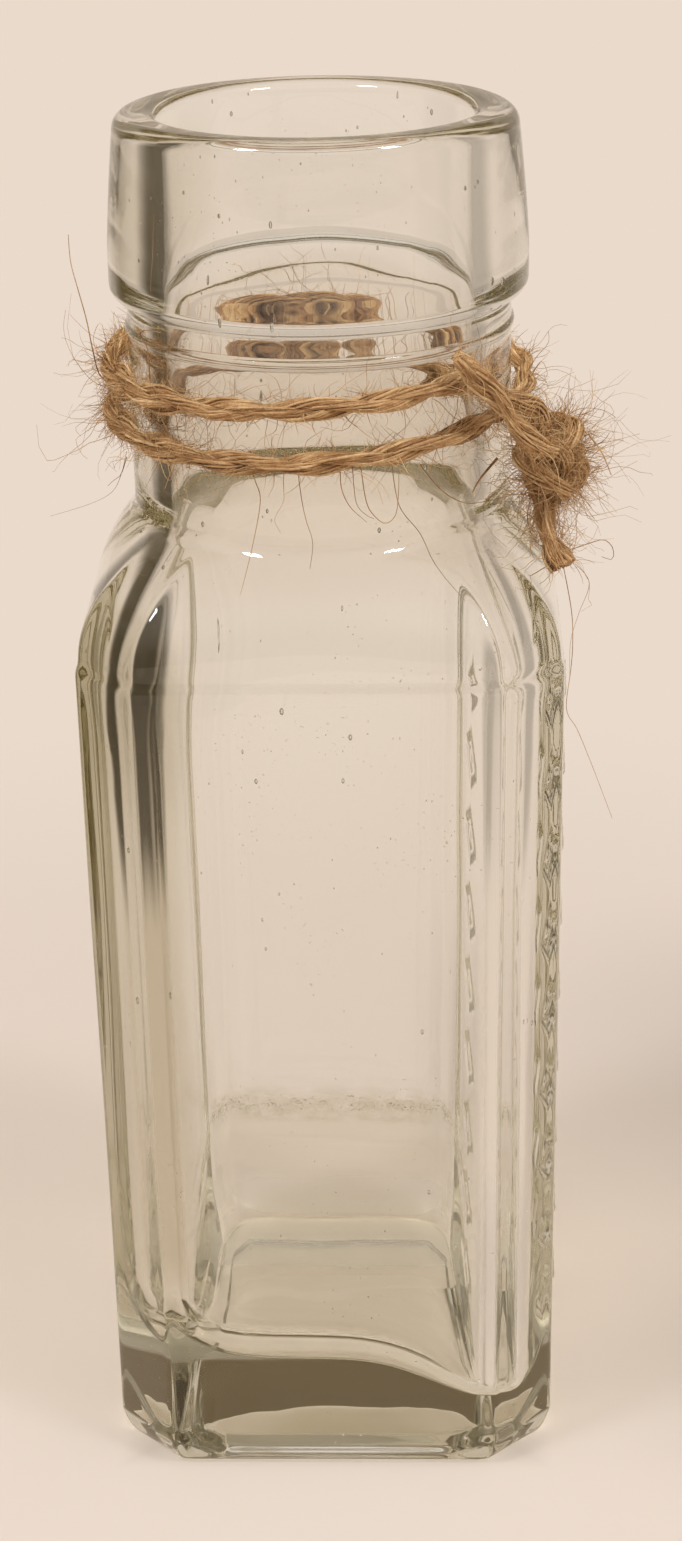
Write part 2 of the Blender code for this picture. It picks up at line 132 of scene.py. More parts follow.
class NodeDesk:
    """Makes the nodes of one tree, a shader's or a geometry tree."""

    def __init__(self, tree: NodeTree) -> None:
        """Take a tree to work on."""
        self.tree = tree

    @staticmethod
    def _pick(sockets: bpy_prop_collection, key: int | str) -> NodeSocket:
        """Return the socket in use with that place or name.

        Args:
            sockets: A node's inputs or outputs.
            key: Its place among those in use, or its name.

        Returns:
            The socket.
        """
        in_use = [socket for socket in sockets if socket.enabled]
        if isinstance(key, int):
            return in_use[key]
        return next(socket for socket in in_use if socket.name == key)

    def fill(self, node: Node, inputs: dict) -> Node:
        """Give a node its inputs.

        Args:
            node: The node.
            inputs: By name or place, a value, a Flow, a socket, or a node for its first output.

        Returns:
            The node.
        """
        for key, given in inputs.items():
            socket = self._pick(node.inputs, key)
            if isinstance(given, Node):
                given = given.outputs[0]
            elif isinstance(given, Flow):
                given = given.socket
            if isinstance(given, NodeSocket):
                self.tree.links.new(given, socket)
            else:
                socket.default_value = (*given, 1.0) if socket.type == "RGBA" else given
        return node

    def node(self, kind: str, inputs: dict | None = None, **settings: object) -> Node:
        """Make a node.

        Args:
            kind: The node's type.
            inputs: Its inputs, as fill takes them.
            **settings: Its properties, set before the inputs.

        Returns:
            The node.
        """
        made = self.tree.nodes.new(kind)
        for name, setting in settings.items():
            setattr(made, name, setting)
        return self.fill(made, inputs or {})

    def flow(
        self, kind: str, inputs: dict | None = None, output: int | str = 0, **settings: object
    ) -> Flow:
        """Make a node, as node does, and return its output of that place or name."""
        return Flow(self, self._pick(self.node(kind, inputs, **settings).outputs, output))

    def vector(self, operation: str, *values: Flow | tuple) -> Flow:
        """Return a Vector Math node's result."""
        return self.flow("ShaderNodeVectorMath", dict(enumerate(values)), operation=operation)

    def scaled(self, vector: Flow, factor: Flow | float) -> Flow:
        """Return a vector times a number."""
        inputs = {"Vector": vector, "Scale": factor}
        return self.flow("ShaderNodeVectorMath", inputs, operation="SCALE")

    def parts(self, vector: Flow) -> list[Flow]:
        """Return a vector's three numbers."""
        made = self.node("ShaderNodeSeparateXYZ", {0: vector})
        return [Flow(self, output) for output in made.outputs]

    def joined(self, x: Flow | float, y: Flow | float, z: Flow | float) -> Flow:
        """Return a vector of three numbers."""
        return self.flow("ShaderNodeCombineXYZ", {0: x, 1: y, 2: z})

    def noise(self, place: Flow, scale: float, detail: float = 2.0, roughness: float = 0.5) -> Flow:
        """Return a smooth noise between 0 and 1.

        Args:
            place: Where it is read.
            scale: Waves per unit.
            detail: Octaves above the first.
            roughness: Strength of each next octave.

        Returns:
            The noise.
        """
        inputs = {"Vector": place, "Scale": scale, "Detail": detail, "Roughness": roughness}
        return self.flow("ShaderNodeTexNoise", inputs)

    def stretched(self, place: Flow, up: float) -> Flow:
        """Return a place with its height times a number."""
        return self.vector("MULTIPLY", place, (1.0, 1.0, up))

    def shake(self, place: Flow, **inputs: Flow | float) -> Flow:
        """Return a noise of three numbers between -0.5 and 0.5, from a Noise node's inputs.

        Args:
            place: Where it is read.
            **inputs: The node's Scale and Detail, and W for a noise of four dimensions.

        Returns:
            The noise.
        """
        sized = "4D" if "W" in inputs else "3D"
        given = {"Vector": place, **inputs}
        noise = self.flow("ShaderNodeTexNoise", given, "Color", noise_dimensions=sized)
        return self.vector("SUBTRACT", noise, (0.5, 0.5, 0.5))

    def luck(self, seed: int | Flow, number: Flow | None = None) -> Flow:
        """Return a random share between 0 and 1 for each point, or for each number."""
        inputs = {"Seed": seed} if number is None else {"ID": number, "Seed": seed}
        return self.flow("FunctionNodeRandomValue", inputs)

    def blend(self, factor: Flow | float, first: Flow | tuple, second: Flow | tuple) -> Flow:
        """Return a mix of two colours."""
        inputs = {0: factor, 1: first, 2: second}
        return self.flow("ShaderNodeMix", inputs, data_type="RGBA")

    def ramp(self, value: Flow, stops: tuple) -> Flow:
        """Return the colour at a value on a ramp of places and colours.

        Args:
            value: Where on the ramp.
            stops: The places and their colours.

        Returns:
            The colour.
        """
        made = self.node("ShaderNodeValToRGB", {0: value})
        elements = made.color_ramp.elements
        while len(elements) < len(stops):
            elements.new(1.0)
        for element, (place, color) in zip(elements, stops):
            element.position = place
            element.color = (*color, 1.0)
        return Flow(self, made.outputs[0])

    def bump(self, strength: float, distance: float, height: Flow) -> Node:
        """Return a Bump node."""
        inputs = {"Strength": strength, "Distance": distance, "Height": height}
        return self.node("ShaderNodeBump", inputs)

    def moved(self, geometry: NodeSocket | Node, **how: Flow) -> Node:
        """Return a Set Position node, which takes an Offset or a Position."""
        return self.node("GeometryNodeSetPosition", {"Geometry": geometry, **how})


# Geometry trees


class Recipe:
    """A geometry tree with named inputs, laid over a base mesh and turned into a plain one."""

    def __init__(self, name: str, finish: Material, **settings: float) -> None:
        """Start a tree.

        Args:
            name: The tree's name.
            finish: The material that it ends with, its input "Material".
            **settings: Its other inputs' values; ply_pitch is the input "Ply Pitch".
        """
        self.tree = bpy.data.node_groups.new(name, "GeometryNodeTree")
        self.values: dict[str, float | Material] = {}
        face = self.tree.interface
        face.new_socket("Base", in_out="INPUT", socket_type="NodeSocketGeometry")
        for word, setting in {**settings, "material": finish}.items():
            kind = "NodeSocketInt" if isinstance(setting, int) else "NodeSocketFloat"
            if isinstance(setting, Material):
                kind = "NodeSocketMaterial"
            title = word.replace("_", " ").title()
            made = face.new_socket(title, in_out="INPUT", socket_type=kind)
            self.values[made.identifier] = setting
        face.new_socket("Made", in_out="OUTPUT", socket_type="NodeSocketGeometry")
        self.desk = NodeDesk(self.tree)
        self.asked = self.desk.node("NodeGroupInput")
        self.base = self.asked.outputs["Base"]

    def given(self, title: str) -> Flow:
        """Return one of the tree's inputs."""
        return Flow(self.desk, self.asked.outputs[title])

    def curves(self) -> Node:
        """Return the base's lines as smooth curves with a point at each "Point Step".

        Returns:
            The node that they come out of.
        """
        lines = self.desk.node("GeometryNodeMeshToCurve", {0: self.base})
        bent = self.desk.node("GeometryNodeCurveSplineType", {0: lines}, spline_type="CATMULL_ROM")
        inputs = {"Curve": bent, "Length": self.given("Point Step")}
        return self.desk.node("GeometryNodeResampleCurve", inputs, mode="LENGTH")

    def tubes(self, curves: Node, along: Flow, fibre: Flow, radius: Flow, sides: int) -> None:
        """End the tree with tubes along curves.

        Args:
            curves: The node that the curves come from.
            along: The tubes' attribute "along", metres from the start.
            fibre: Their attribute "fibre", a random share for each.
            radius: Their radius.
            sides: How many sides they have.
        """
        for title, field in (("along", along), ("fibre", fibre)):
            curves = self.desk.node(
                "GeometryNodeStoreNamedAttribute",
                {"Geometry": curves, "Name": title, "Value": field},
                data_type="FLOAT", domain="POINT",
            )
        inputs = {"Resolution": sides, "Radius": 1.0}
        ring = self.desk.node("GeometryNodeCurvePrimitiveCircle", inputs)
        inputs = {"Curve": curves, "Profile Curve": ring, "Scale": radius, "Fill Caps": True}
        self.close(self.desk.node("GeometryNodeCurveToMesh", inputs))

    def close(self, geometry: Node) -> None:
        """End the tree: realize what it made, smooth it and give it its finish.

        Args:
            geometry: The node that what it made comes out of.
        """
        real = self.desk.node("GeometryNodeRealizeInstances", {0: geometry})
        smooth = self.desk.node("GeometryNodeSetShadeSmooth", {0: real})
        inputs = {"Geometry": smooth, "Material": self.given("Material")}
        finished = self.desk.node("GeometryNodeSetMaterial", inputs)
        self.desk.node("NodeGroupOutput", {"Made": finished})

    def make(self, base: Mesh, name: str) -> Object:
        """Lay the tree over a mesh and keep the result as a plain mesh object.

        Args:
            base: The mesh that the tree starts from.
            name: The new object's name.

        Returns:
            The new object, at the origin.
        """
        carrier = place_object(f"{name}.base", base)
        modifier = carrier.modifiers.new(name, "NODES")
        modifier.node_group = self.tree
        for identifier, value in self.values.items():
            modifier[identifier] = value
        graph = bpy.context.evaluated_depsgraph_get()
        mesh = bpy.data.meshes.new_from_object(
            carrier.evaluated_get(graph), preserve_all_data_layers=True, depsgraph=graph
        )
        carrier.modifiers.remove(modifier)
        bpy.data.objects.remove(carrier, do_unlink=True)
        mesh.name = name
        return place_object(name, mesh)


def place_object(name: str, data: ID) -> Object:
    """Link a new object for a mesh, a light or a camera at the origin.

    Args:
        name: Its name.
        data: Its data.

    Returns:
        The object.
    """
    made = bpy.data.objects.new(name, data)
    bpy.context.scene.collection.objects.link(made)
    return made


def declare(made: Object, body: Body, slot: Slot, *nodes: str) -> Object:
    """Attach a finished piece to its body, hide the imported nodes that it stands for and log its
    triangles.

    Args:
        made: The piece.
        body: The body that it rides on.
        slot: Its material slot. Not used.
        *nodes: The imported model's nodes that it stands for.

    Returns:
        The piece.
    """
    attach(made, body.value)
    if nodes:
        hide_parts(*nodes)
    triangles = sum(len(p.vertices) - 2 for p in made.data.polygons)
    LOG.info("%s: %d triangles", made.name, triangles)
    return made


def new_material(name: str) -> tuple[Material, NodeDesk, Node, Node]:
    """Start a material.

    Args:
        name: Its name.

    Returns:
        The material, its desk, its Principled shader and its output node.
    """
    made = bpy.data.materials.new(name)
    made.use_nodes = True
    nodes = made.node_tree.nodes
    return made, NodeDesk(made.node_tree), nodes["Principled BSDF"], nodes["Material Output"]


def smooth_route(points: list, steps: int) -> list[Vector]:
    """Return points on a smooth curve through the given ones.

    Args:
        points: The points that it passes.
        steps: Points made for each stretch.

    Returns:
        The curve's points.
    """
    spots = [Vector(p) for p in points]
    spots = [2 * spots[0] - spots[1], *spots, 2 * spots[-1] - spots[-2]]
    route = []
    for a, b, c, d in zip(spots, spots[1:], spots[2:], spots[3:]):
        for step in range(steps):
            t = step / steps
            place = (2 * b) + (c - a) * t + (2 * a - 5 * b + 4 * c - d) * t * t
            route.append((place + (3 * b - a - 3 * c + d) * t ** 3) / 2)
    return [*route, spots[-2]]


def line_mesh(name: str, routes: list[list[Vector]], swells: list[list[float]]) -> Mesh:
    """Return a mesh of bare lines, each point with its share of the yarn's thickness.

    Args:
        name: The mesh's name.
        routes: The points of each line.
        swells: A thickness share for each of those points.

    Returns:
        The mesh, with the shares as the attribute "swell".
    """
    points, edges, shares = [], [], []
    for route, swell in zip(routes, swells):
        first = len(points)
        points += [tuple(p) for p in route]
        edges += [(first + i, first + i + 1) for i in range(len(route) - 1)]
        shares += swell
    mesh = bpy.data.meshes.new(name)
    mesh.from_pydata(points, edges, [])
    mesh.attributes.new("swell", "FLOAT", "POINT").data.foreach_set("value", shares)
    return mesh


# Finishes


@dataclass(frozen=True)
class GlassFinish:
    """Old pressed soda glass: clear, faintly green-grey, with soft waves, a little dust and painted
    shade low on the back, on the front-left corner facet and on the left of the lip.

    A tuple of four places is where a mask begins, is full, is last full and ends. A tuple of
    five is a noise's scale, detail and roughness, and the values where a mask begins and is full.
    """

    base: tuple = (0.995, 0.995, 0.99)
    dust: tuple = (0.42, 0.36, 0.27)
    depth_color: tuple = (0.44, 0.38, 0.08)
    depth_density: float = 13.0
    shadow: tuple = (0.80, 0.785, 0.755)
    ior: float = 1.5
    roughness: float = 0.012
    specks: tuple = (2600.0, 1.0, 0.5, 0.735, 0.76)
    speck_patches: tuple = (70.0, 2.0, 0.5, 0.48, 0.70)
    speck_roughness: float = 0.4
    film: tuple = (240.0, 4.0, 0.65, 0.5, 0.78)
    film_roughness: float = 0.02
    waves: tuple = (90.0, 1.5, 0.45)
    wave_stretch: float = 0.35
    wave_height: float = 0.00012
    crinkles: tuple = (900.0, 2.0, 0.6)
    crinkle_heights: tuple = (0.0185, 0.0210, 0.0222, 0.0240)
    crinkle_back: tuple = (0.008, 0.016)
    crinkle_height: float = 4.0
    # Painted shade low on the back of the glass: a soft darker band, and a darker wrinkled line
    # along the settle mark.
    settled: tuple = (0.74, 0.70, 0.60)
    back_shade_y: tuple = (0.0185, 0.0200)
    back_shade_heights: tuple = (0.0095, 0.0120, 0.0200, 0.0225)
    back_shade_share: float = 0.4
    back_shade_line: tuple = (0.0198, 0.0210, 0.0222, 0.0246)
    wrinkles: tuple = (300.0, 3.0, 0.7, 0.3, 0.7)
    wrinkle_stretch: float = 2.5
    underside_heights: tuple = (0.0012, 0.0018)
    underside_back: tuple = (0.0095, 0.0125)
    underside_roughness: float = 0.45
    bend_depths: tuple = (0.0152, 0.0166, 0.0212, 0.0222)
    bend_heights: tuple = (0.0060, 0.0080, 0.0125, 0.0150)
    bend_roughness: float = 0.4
    # Painted shade on the front-left corner facet, above the base.
    pooled: tuple = (0.70, 0.66, 0.55)
    left_shade_reach: tuple = (0.0365, 0.0405)
    left_shade_heights: tuple = (0.0160, 0.0220)
    # Painted shade, darker still, on the same facet at the shoulder.
    corner: tuple = (0.40, 0.36, 0.24)
    corner_shade_heights: tuple = (0.0740, 0.0860, 0.0930, 0.0980)
    corner_shade_share: float = 0.6
    # A slightly darker, warmer tone over the neck.
    handled: tuple = (0.925, 0.90, 0.86)
    neck_heights: tuple = (0.0980, 0.1020, 0.1235, 0.1260)
    # Painted shade on the left of the lip.
    lip: tuple = (0.88, 0.86, 0.80)
    lip_left: tuple = (0.0110, 0.0180)
    lip_heights: tuple = (0.1270, 0.1300, 0.1390, 0.1430)

    def tint(self, desk: NodeDesk, place: Flow, dusty: Flow) -> Flow:
        """Return the colour of the glass's surface, with its painted shade.

        Args:
            desk: The material's desk.
            place: The point's place.
            dusty: Where dust lies.

        Returns:
            The colour.
        """
        x, y, z = desk.parts(place)
        # Painted shade low on the back: a soft band, and a wrinkled line along the settle mark.
        low, full, last, high = self.back_shade_heights
        settled = y.step(*self.back_shade_y) * z.step(low, full)
        soft = settled * (1 - z.step(last, high)) * self.back_shade_share
        *kind, rise, top = self.wrinkles
        wrinkles = desk.noise(desk.stretched(place, self.wrinkle_stretch), *kind).step(rise, top)
        back_shade_mask = soft + settled * z.within(*self.back_shade_line) * wrinkles
        # Painted shade on the front-left corner facet, darker at the shoulder.
        cut = (0 - x - y).step(*self.left_shade_reach) * z.step(*self.left_shade_heights)
        # Painted shade on the left of the lip.
        lip = (0 - x).step(*self.lip_left) * z.within(*self.lip_heights)
        corner = cut * z.within(*self.corner_shade_heights) * self.corner_shade_share
        tint: Flow | tuple = self.base
        for share, color in (
            (back_shade_mask, self.settled), (cut, self.pooled),
            (z.within(*self.neck_heights), self.handled), (corner, self.corner),
            (lip, self.lip), (dusty, self.dust),
        ):
            tint = desk.blend(share, tint, color)
        return tint

    def material(self, name: str) -> Material:
        """Return the glass.

        Args:
            name: The material's name.

        Returns:
            The material.
        """
        made, desk, shader, output = new_material(name)
        place = desk.flow("ShaderNodeTexCoord", output="Object")
        _, y, z = desk.parts(place)
        specks, patches, film = (
            desk.noise(place, *kind).step(rise, top)
            for *kind, rise, top in (self.specks, self.speck_patches, self.film)
        )
        dusty = specks * patches
        waves = desk.noise(desk.stretched(place, self.wave_stretch), *self.waves)
        band = z.within(*self.crinkle_heights) * y.step(*self.crinkle_back)
        crinkles = desk.noise(place, *self.crinkles) * band * self.crinkle_height
        underside = (1 - z.step(*self.underside_heights)) * y.step(*self.underside_back)
        bend = y.within(*self.bend_depths) * z.within(*self.bend_heights)
        rough = self.roughness + film * self.film_roughness + dusty * self.speck_roughness
        rough = rough + underside * self.underside_roughness + bend * self.bend_roughness
        desk.fill(shader, {
            "IOR": self.ior, "Transmission Weight": 1.0, "Roughness": rough,
            "Base Color": self.tint(desk, place, dusty),
            "Normal": desk.bump(1.0, self.wave_height, waves + crinkles),
        })
        clear = desk.node("ShaderNodeBsdfTransparent", {"Color": self.shadow})
        passing = desk.flow("ShaderNodeLightPath", output="Is Shadow Ray")
        depth = {"Color": self.depth_color, "Density": self.depth_density}
        desk.fill(output, {
            "Surface": desk.node("ShaderNodeMixShader", {0: passing, 1: shader, 2: clear}),
            "Volume": desk.node("ShaderNodeVolumeAbsorption", depth),
        })
        return made


@dataclass(frozen=True)
class SeedFinish:
    """The air in a seed: a bubble's skin, where light leaves the glass and enters it again."""

    base: tuple = (0.97, 0.97, 0.95)
    dimmed: float = 0.93
    cloud_scale: float = 900.0
    ior: float = 1 / 1.5

    def material(self, name: str) -> Material:
        """Return the bubble's skin.

        Args:
            name: The material's name.

        Returns:
            The material.
        """
        made, desk, shader, _ = new_material(name)
        place = desk.flow("ShaderNodeTexCoord", output="Object")
        cloud = desk.noise(place, self.cloud_scale, 1.0)
        tint = desk.blend(cloud, self.base, tuple(c * self.dimmed for c in self.base))
        desk.fill(shader, {
            "IOR": self.ior, "Transmission Weight": 1.0, "Roughness": 0.0, "Base Color": tint,
        })
        return made


@dataclass(frozen=True)
class JuteFinish:
    """Jute fibre: silky golden brown, streaked along each fibre.

    The streaks and the grain are a noise's scale, detail and roughness.
    """

    stops: tuple = (
        (0.24, (0.10, 0.040, 0.012)), (0.5, (0.44, 0.235, 0.090)), (0.78, (0.86, 0.60, 0.32)),
    )
    roughness: float = 0.5
    streak_length: float = 0.0042
    apart: tuple = (91.0, 37.0)
    shares: tuple = (0.75, 0.3, 0.3, 0.35)
    streaks: tuple = (1.0, 3.0, 0.6)
    streak_roughness: float = 0.3
    grain: tuple = (4200.0, 2.0, 0.6)
    patch_scale: float = 260.0
    groove: float = 0.00006
    groove_strength: float = 0.6
    groove_grain: float = 0.6

    def material(self, name: str) -> Material:
        """Return the jute.

        Args:
            name: The material's name.

        Returns:
            The material.
        """
        made, desk, shader, _ = new_material(name)
        along, fibre = (
            desk.flow("ShaderNodeAttribute", output="Fac", attribute_name=title)
            for title in ("along", "fibre")
        )
        place = desk.flow("ShaderNodeTexCoord", output="Object")
        run = desk.joined(along / self.streak_length, *(fibre * apart for apart in self.apart))
        streaks, grain = desk.noise(run, *self.streaks), desk.noise(place, *self.grain)
        patches = desk.noise(place, self.patch_scale)
        parts = (streaks, grain, fibre - 0.5, patches - 0.5)
        tone = sum(part * share for part, share in zip(parts, self.shares))
        grooves = grain * self.groove_grain + streaks
        desk.fill(shader, {
            "Base Color": desk.ramp(tone, self.stops),
            "Roughness": self.roughness + (1 - streaks) * self.streak_roughness,
            "Normal": desk.bump(self.groove_strength, self.groove, grooves),
        })
        return made


@dataclass(frozen=True)
class SideCards:
    """The dark room left and right of the sheet, seen only through the glass."""

    color: tuple = (0.07, 0.050, 0.022)
    left: float = 0.95
    right: float = 0.42
    depth: tuple = (-0.14, 0.08)

    def share(self, x: Flow, y: Flow, edge: tuple) -> Flow:
        """Return the cards' share in a direction.

        Args:
            x: The direction's part to the right.
            y: Its part to the back.
            edge: Where between 0 and 1 to the side they begin and are full.

        Returns:
            The share.
        """
        side = (0 - x).step(*edge) * self.left + x.step(*edge) * self.right
        return side * y.step(*self.depth)


@dataclass(frozen=True)
class PaperFinish:
    """The pale sheet that the bottle stands on, with a painted contact shadow under the bottle and
    painted soft shadows beside it.
    """

    color: tuple = (0.875, 0.783, 0.71)
    mottle_scale: float = 14.0
    mottled: float = 0.985
    far_color: tuple = (0.823, 0.701, 0.597)
    near_y: float = -0.02
    far_distances: tuple = (0.10, 0.24)
    # Painted contact shadow on the paper under the bottle.
    contact_shadow_color: tuple = (0.10, 0.085, 0.07)
    contact_shadow_share: float = 0.24
    contact_shadow_reach: tuple = (0.0190, 0.0245)
    sheet_edge: tuple = (0.150, 0.190)
    card_edge: tuple = (0.56, 0.80)
    cards: SideCards = SideCards()
    roughness: float = 0.9
    specular: float = 0.1
    # Painted soft shadows beside the bottle: each a middle x and y, a reach and a share of black.
    shades: tuple = ((0.065, 0.075, 0.065, 0.17), (0.056, -0.004, 0.036, 0.16))

    def material(self, name: str) -> Material:
        """Return the paper.

        Args:
            name: The material's name.

        Returns:
            The material.
        """
        made, desk, shader, output = new_material(name)
        place = desk.flow("ShaderNodeTexCoord", output="Object")
        mottle = desk.noise(place, self.mottle_scale)
        tint = desk.blend(mottle, self.color, tuple(c * self.mottled for c in self.color))
        x, y, _ = desk.parts(place)
        # Painted contact shadow: the paper darker under the bottle's base.
        under = 1 - x.size().most(y.size()).step(*self.contact_shadow_reach)
        tint = desk.blend(under * self.contact_shadow_share, tint, self.contact_shadow_color)
        far: Flow | tuple = self.far_color
        masks = []
        # Painted shadows, on the lit paper and on the far glowing paper.
        for middle_x, middle_y, reach, share in self.shades:
            off = ((x - middle_x) ** 2.0 + (y - middle_y) ** 2.0) ** 0.5
            masks.append(((1 - off.step(0.0, reach)) * share, BLACK))
        seen = desk.flow("ShaderNodeLightPath", output="Is Camera Ray")
        length = (x * x + y * y) ** 0.5
        aside = self.cards.share(x / length, y / length, self.card_edge)
        aside = aside * x.size().step(*self.sheet_edge) * (1 - seen)
        for share, color in (*masks, (aside, self.cards.color)):
            tint, far = (desk.blend(share, plain, color) for plain in (tint, far))
        inputs = {"Roughness": self.roughness, "Specular IOR Level": self.specular}
        desk.fill(shader, {"Base Color": tint, **inputs})
        away = (x * x + (y - self.near_y) ** 2.0) ** 0.5
        glow = desk.node("ShaderNodeEmission", {"Color": far})
        surface = {0: away.step(*self.far_distances), 1: shader, 2: glow}
        desk.fill(output, {"Surface": desk.node("ShaderNodeMixShader", surface)})
        made.cycles.emission_sampling = "NONE"
        return made


# Bottle


@dataclass(frozen=True)
class Lozenges:
    """The column of raised lozenges on the +X panel, each with a bead in it."""

    count: int = 9
    pitch: float = 0.0090
    first_height: float = 0.0120
    half_width: float = 0.0130 / 2
    half_length: float = 0.0068 / 2
    stroke: float = 0.0027
    proud: float = 0.0008
    bead_radius: float = 0.0014
    bead_proud: float = 0.0006
    outside_from: float = 0.0480 / 2 - 0.0042 / 2
    line_crest: ClassVar[float] = 0.05
    bead_crest: ClassVar[float] = 0.1

    def recipe(self, glass: Material) -> Recipe:
        """Return the tree that raises the column of lozenges and beads on the +X panel.

        Args:
            glass: The bottle's finish.

        Returns:
            The tree.
        """
        recipe = Recipe("raised_lozenges", glass, **vars(self))
        desk, given = recipe.desk, recipe.given
        x, y, z = desk.parts(desk.flow("GeometryNodeInputPosition"))
        turn = ((z - given("First Height")) / given("Pitch")).nearest()
        turn = turn.most(0.0).least(given("Count") - 1)
        up = z - given("First Height") - turn * given("Pitch")
        wide, long = given("Half Width"), given("Half Length")
        slant = wide * long / (wide * wide + long * long) ** 0.5
        inward = (1 - y.size() / wide - up.size() / long) * slant
        off_line = (inward / given("Stroke") - 0.5).size() * 2
        line = (1 - off_line.step(self.line_crest, 1.0)) * given("Proud")
        off_bead = (y * y + up * up) ** 0.5 / given("Bead Radius")
        bead = (1 - off_bead.step(self.bead_crest, 1.0)) * given("Bead Proud")
        raised = line.most(bead) * x.above(given("Outside From"))
        recipe.close(desk.moved(recipe.base, Offset=desk.joined(raised, 0.0, 0.0)))
        return recipe


@dataclass(frozen=True)
class Seeds:
    """The small oval bubbles in the glass."""

    density: float = 150 / 0.0125
    inside_reach: float = 0.0497 / 2 - 0.0042 + 0.0003
    lowest: float = 0.024
    shallowest: float = 0.0006
    deepest: float = 0.0042 - 0.0009
    smallest: float = 0.00007
    largest: float = 0.00026
    stretch: float = 1.7
    seed: int = 7

    def recipe(self, air: Material) -> Recipe:
        """Return the tree that scatters small oval bubbles in the walls.

        Args:
            air: The bubbles' finish.

        Returns:
            The tree.
        """
        recipe = Recipe("glass_seeds", air, **vars(self))
        desk, given = recipe.desk, recipe.given
        x, y, z = desk.parts(desk.flow("GeometryNodeInputPosition"))
        reach = given("Inside Reach")
        inside = (1 - x.size().above(reach)) * (1 - y.size().above(reach))
        scatter = desk.node("GeometryNodeDistributePointsOnFaces", {
            "Mesh": recipe.base, "Selection": inside * z.above(given("Lowest")),
            "Density": given("Density"), "Seed": given("Seed"),
        })
        depth = given("Shallowest") + desk.luck(3) * (given("Deepest") - given("Shallowest"))
        normal = Flow(desk, scatter.outputs["Normal"])
        ball = desk.node("GeometryNodeMeshIcoSphere", {"Radius": 1.0, "Subdivisions": 2})
        rare = desk.luck(9) ** 3.0
        radius = given("Smallest") + rare * (given("Largest") - given("Smallest"))
        recipe.close(desk.node("GeometryNodeInstanceOnPoints", {
            "Points": desk.moved(scatter, Offset=desk.scaled(normal, -1 * depth)),
            "Instance": ball, "Scale": desk.joined(radius, radius, radius * given("Stretch")),
        }))
        return recipe


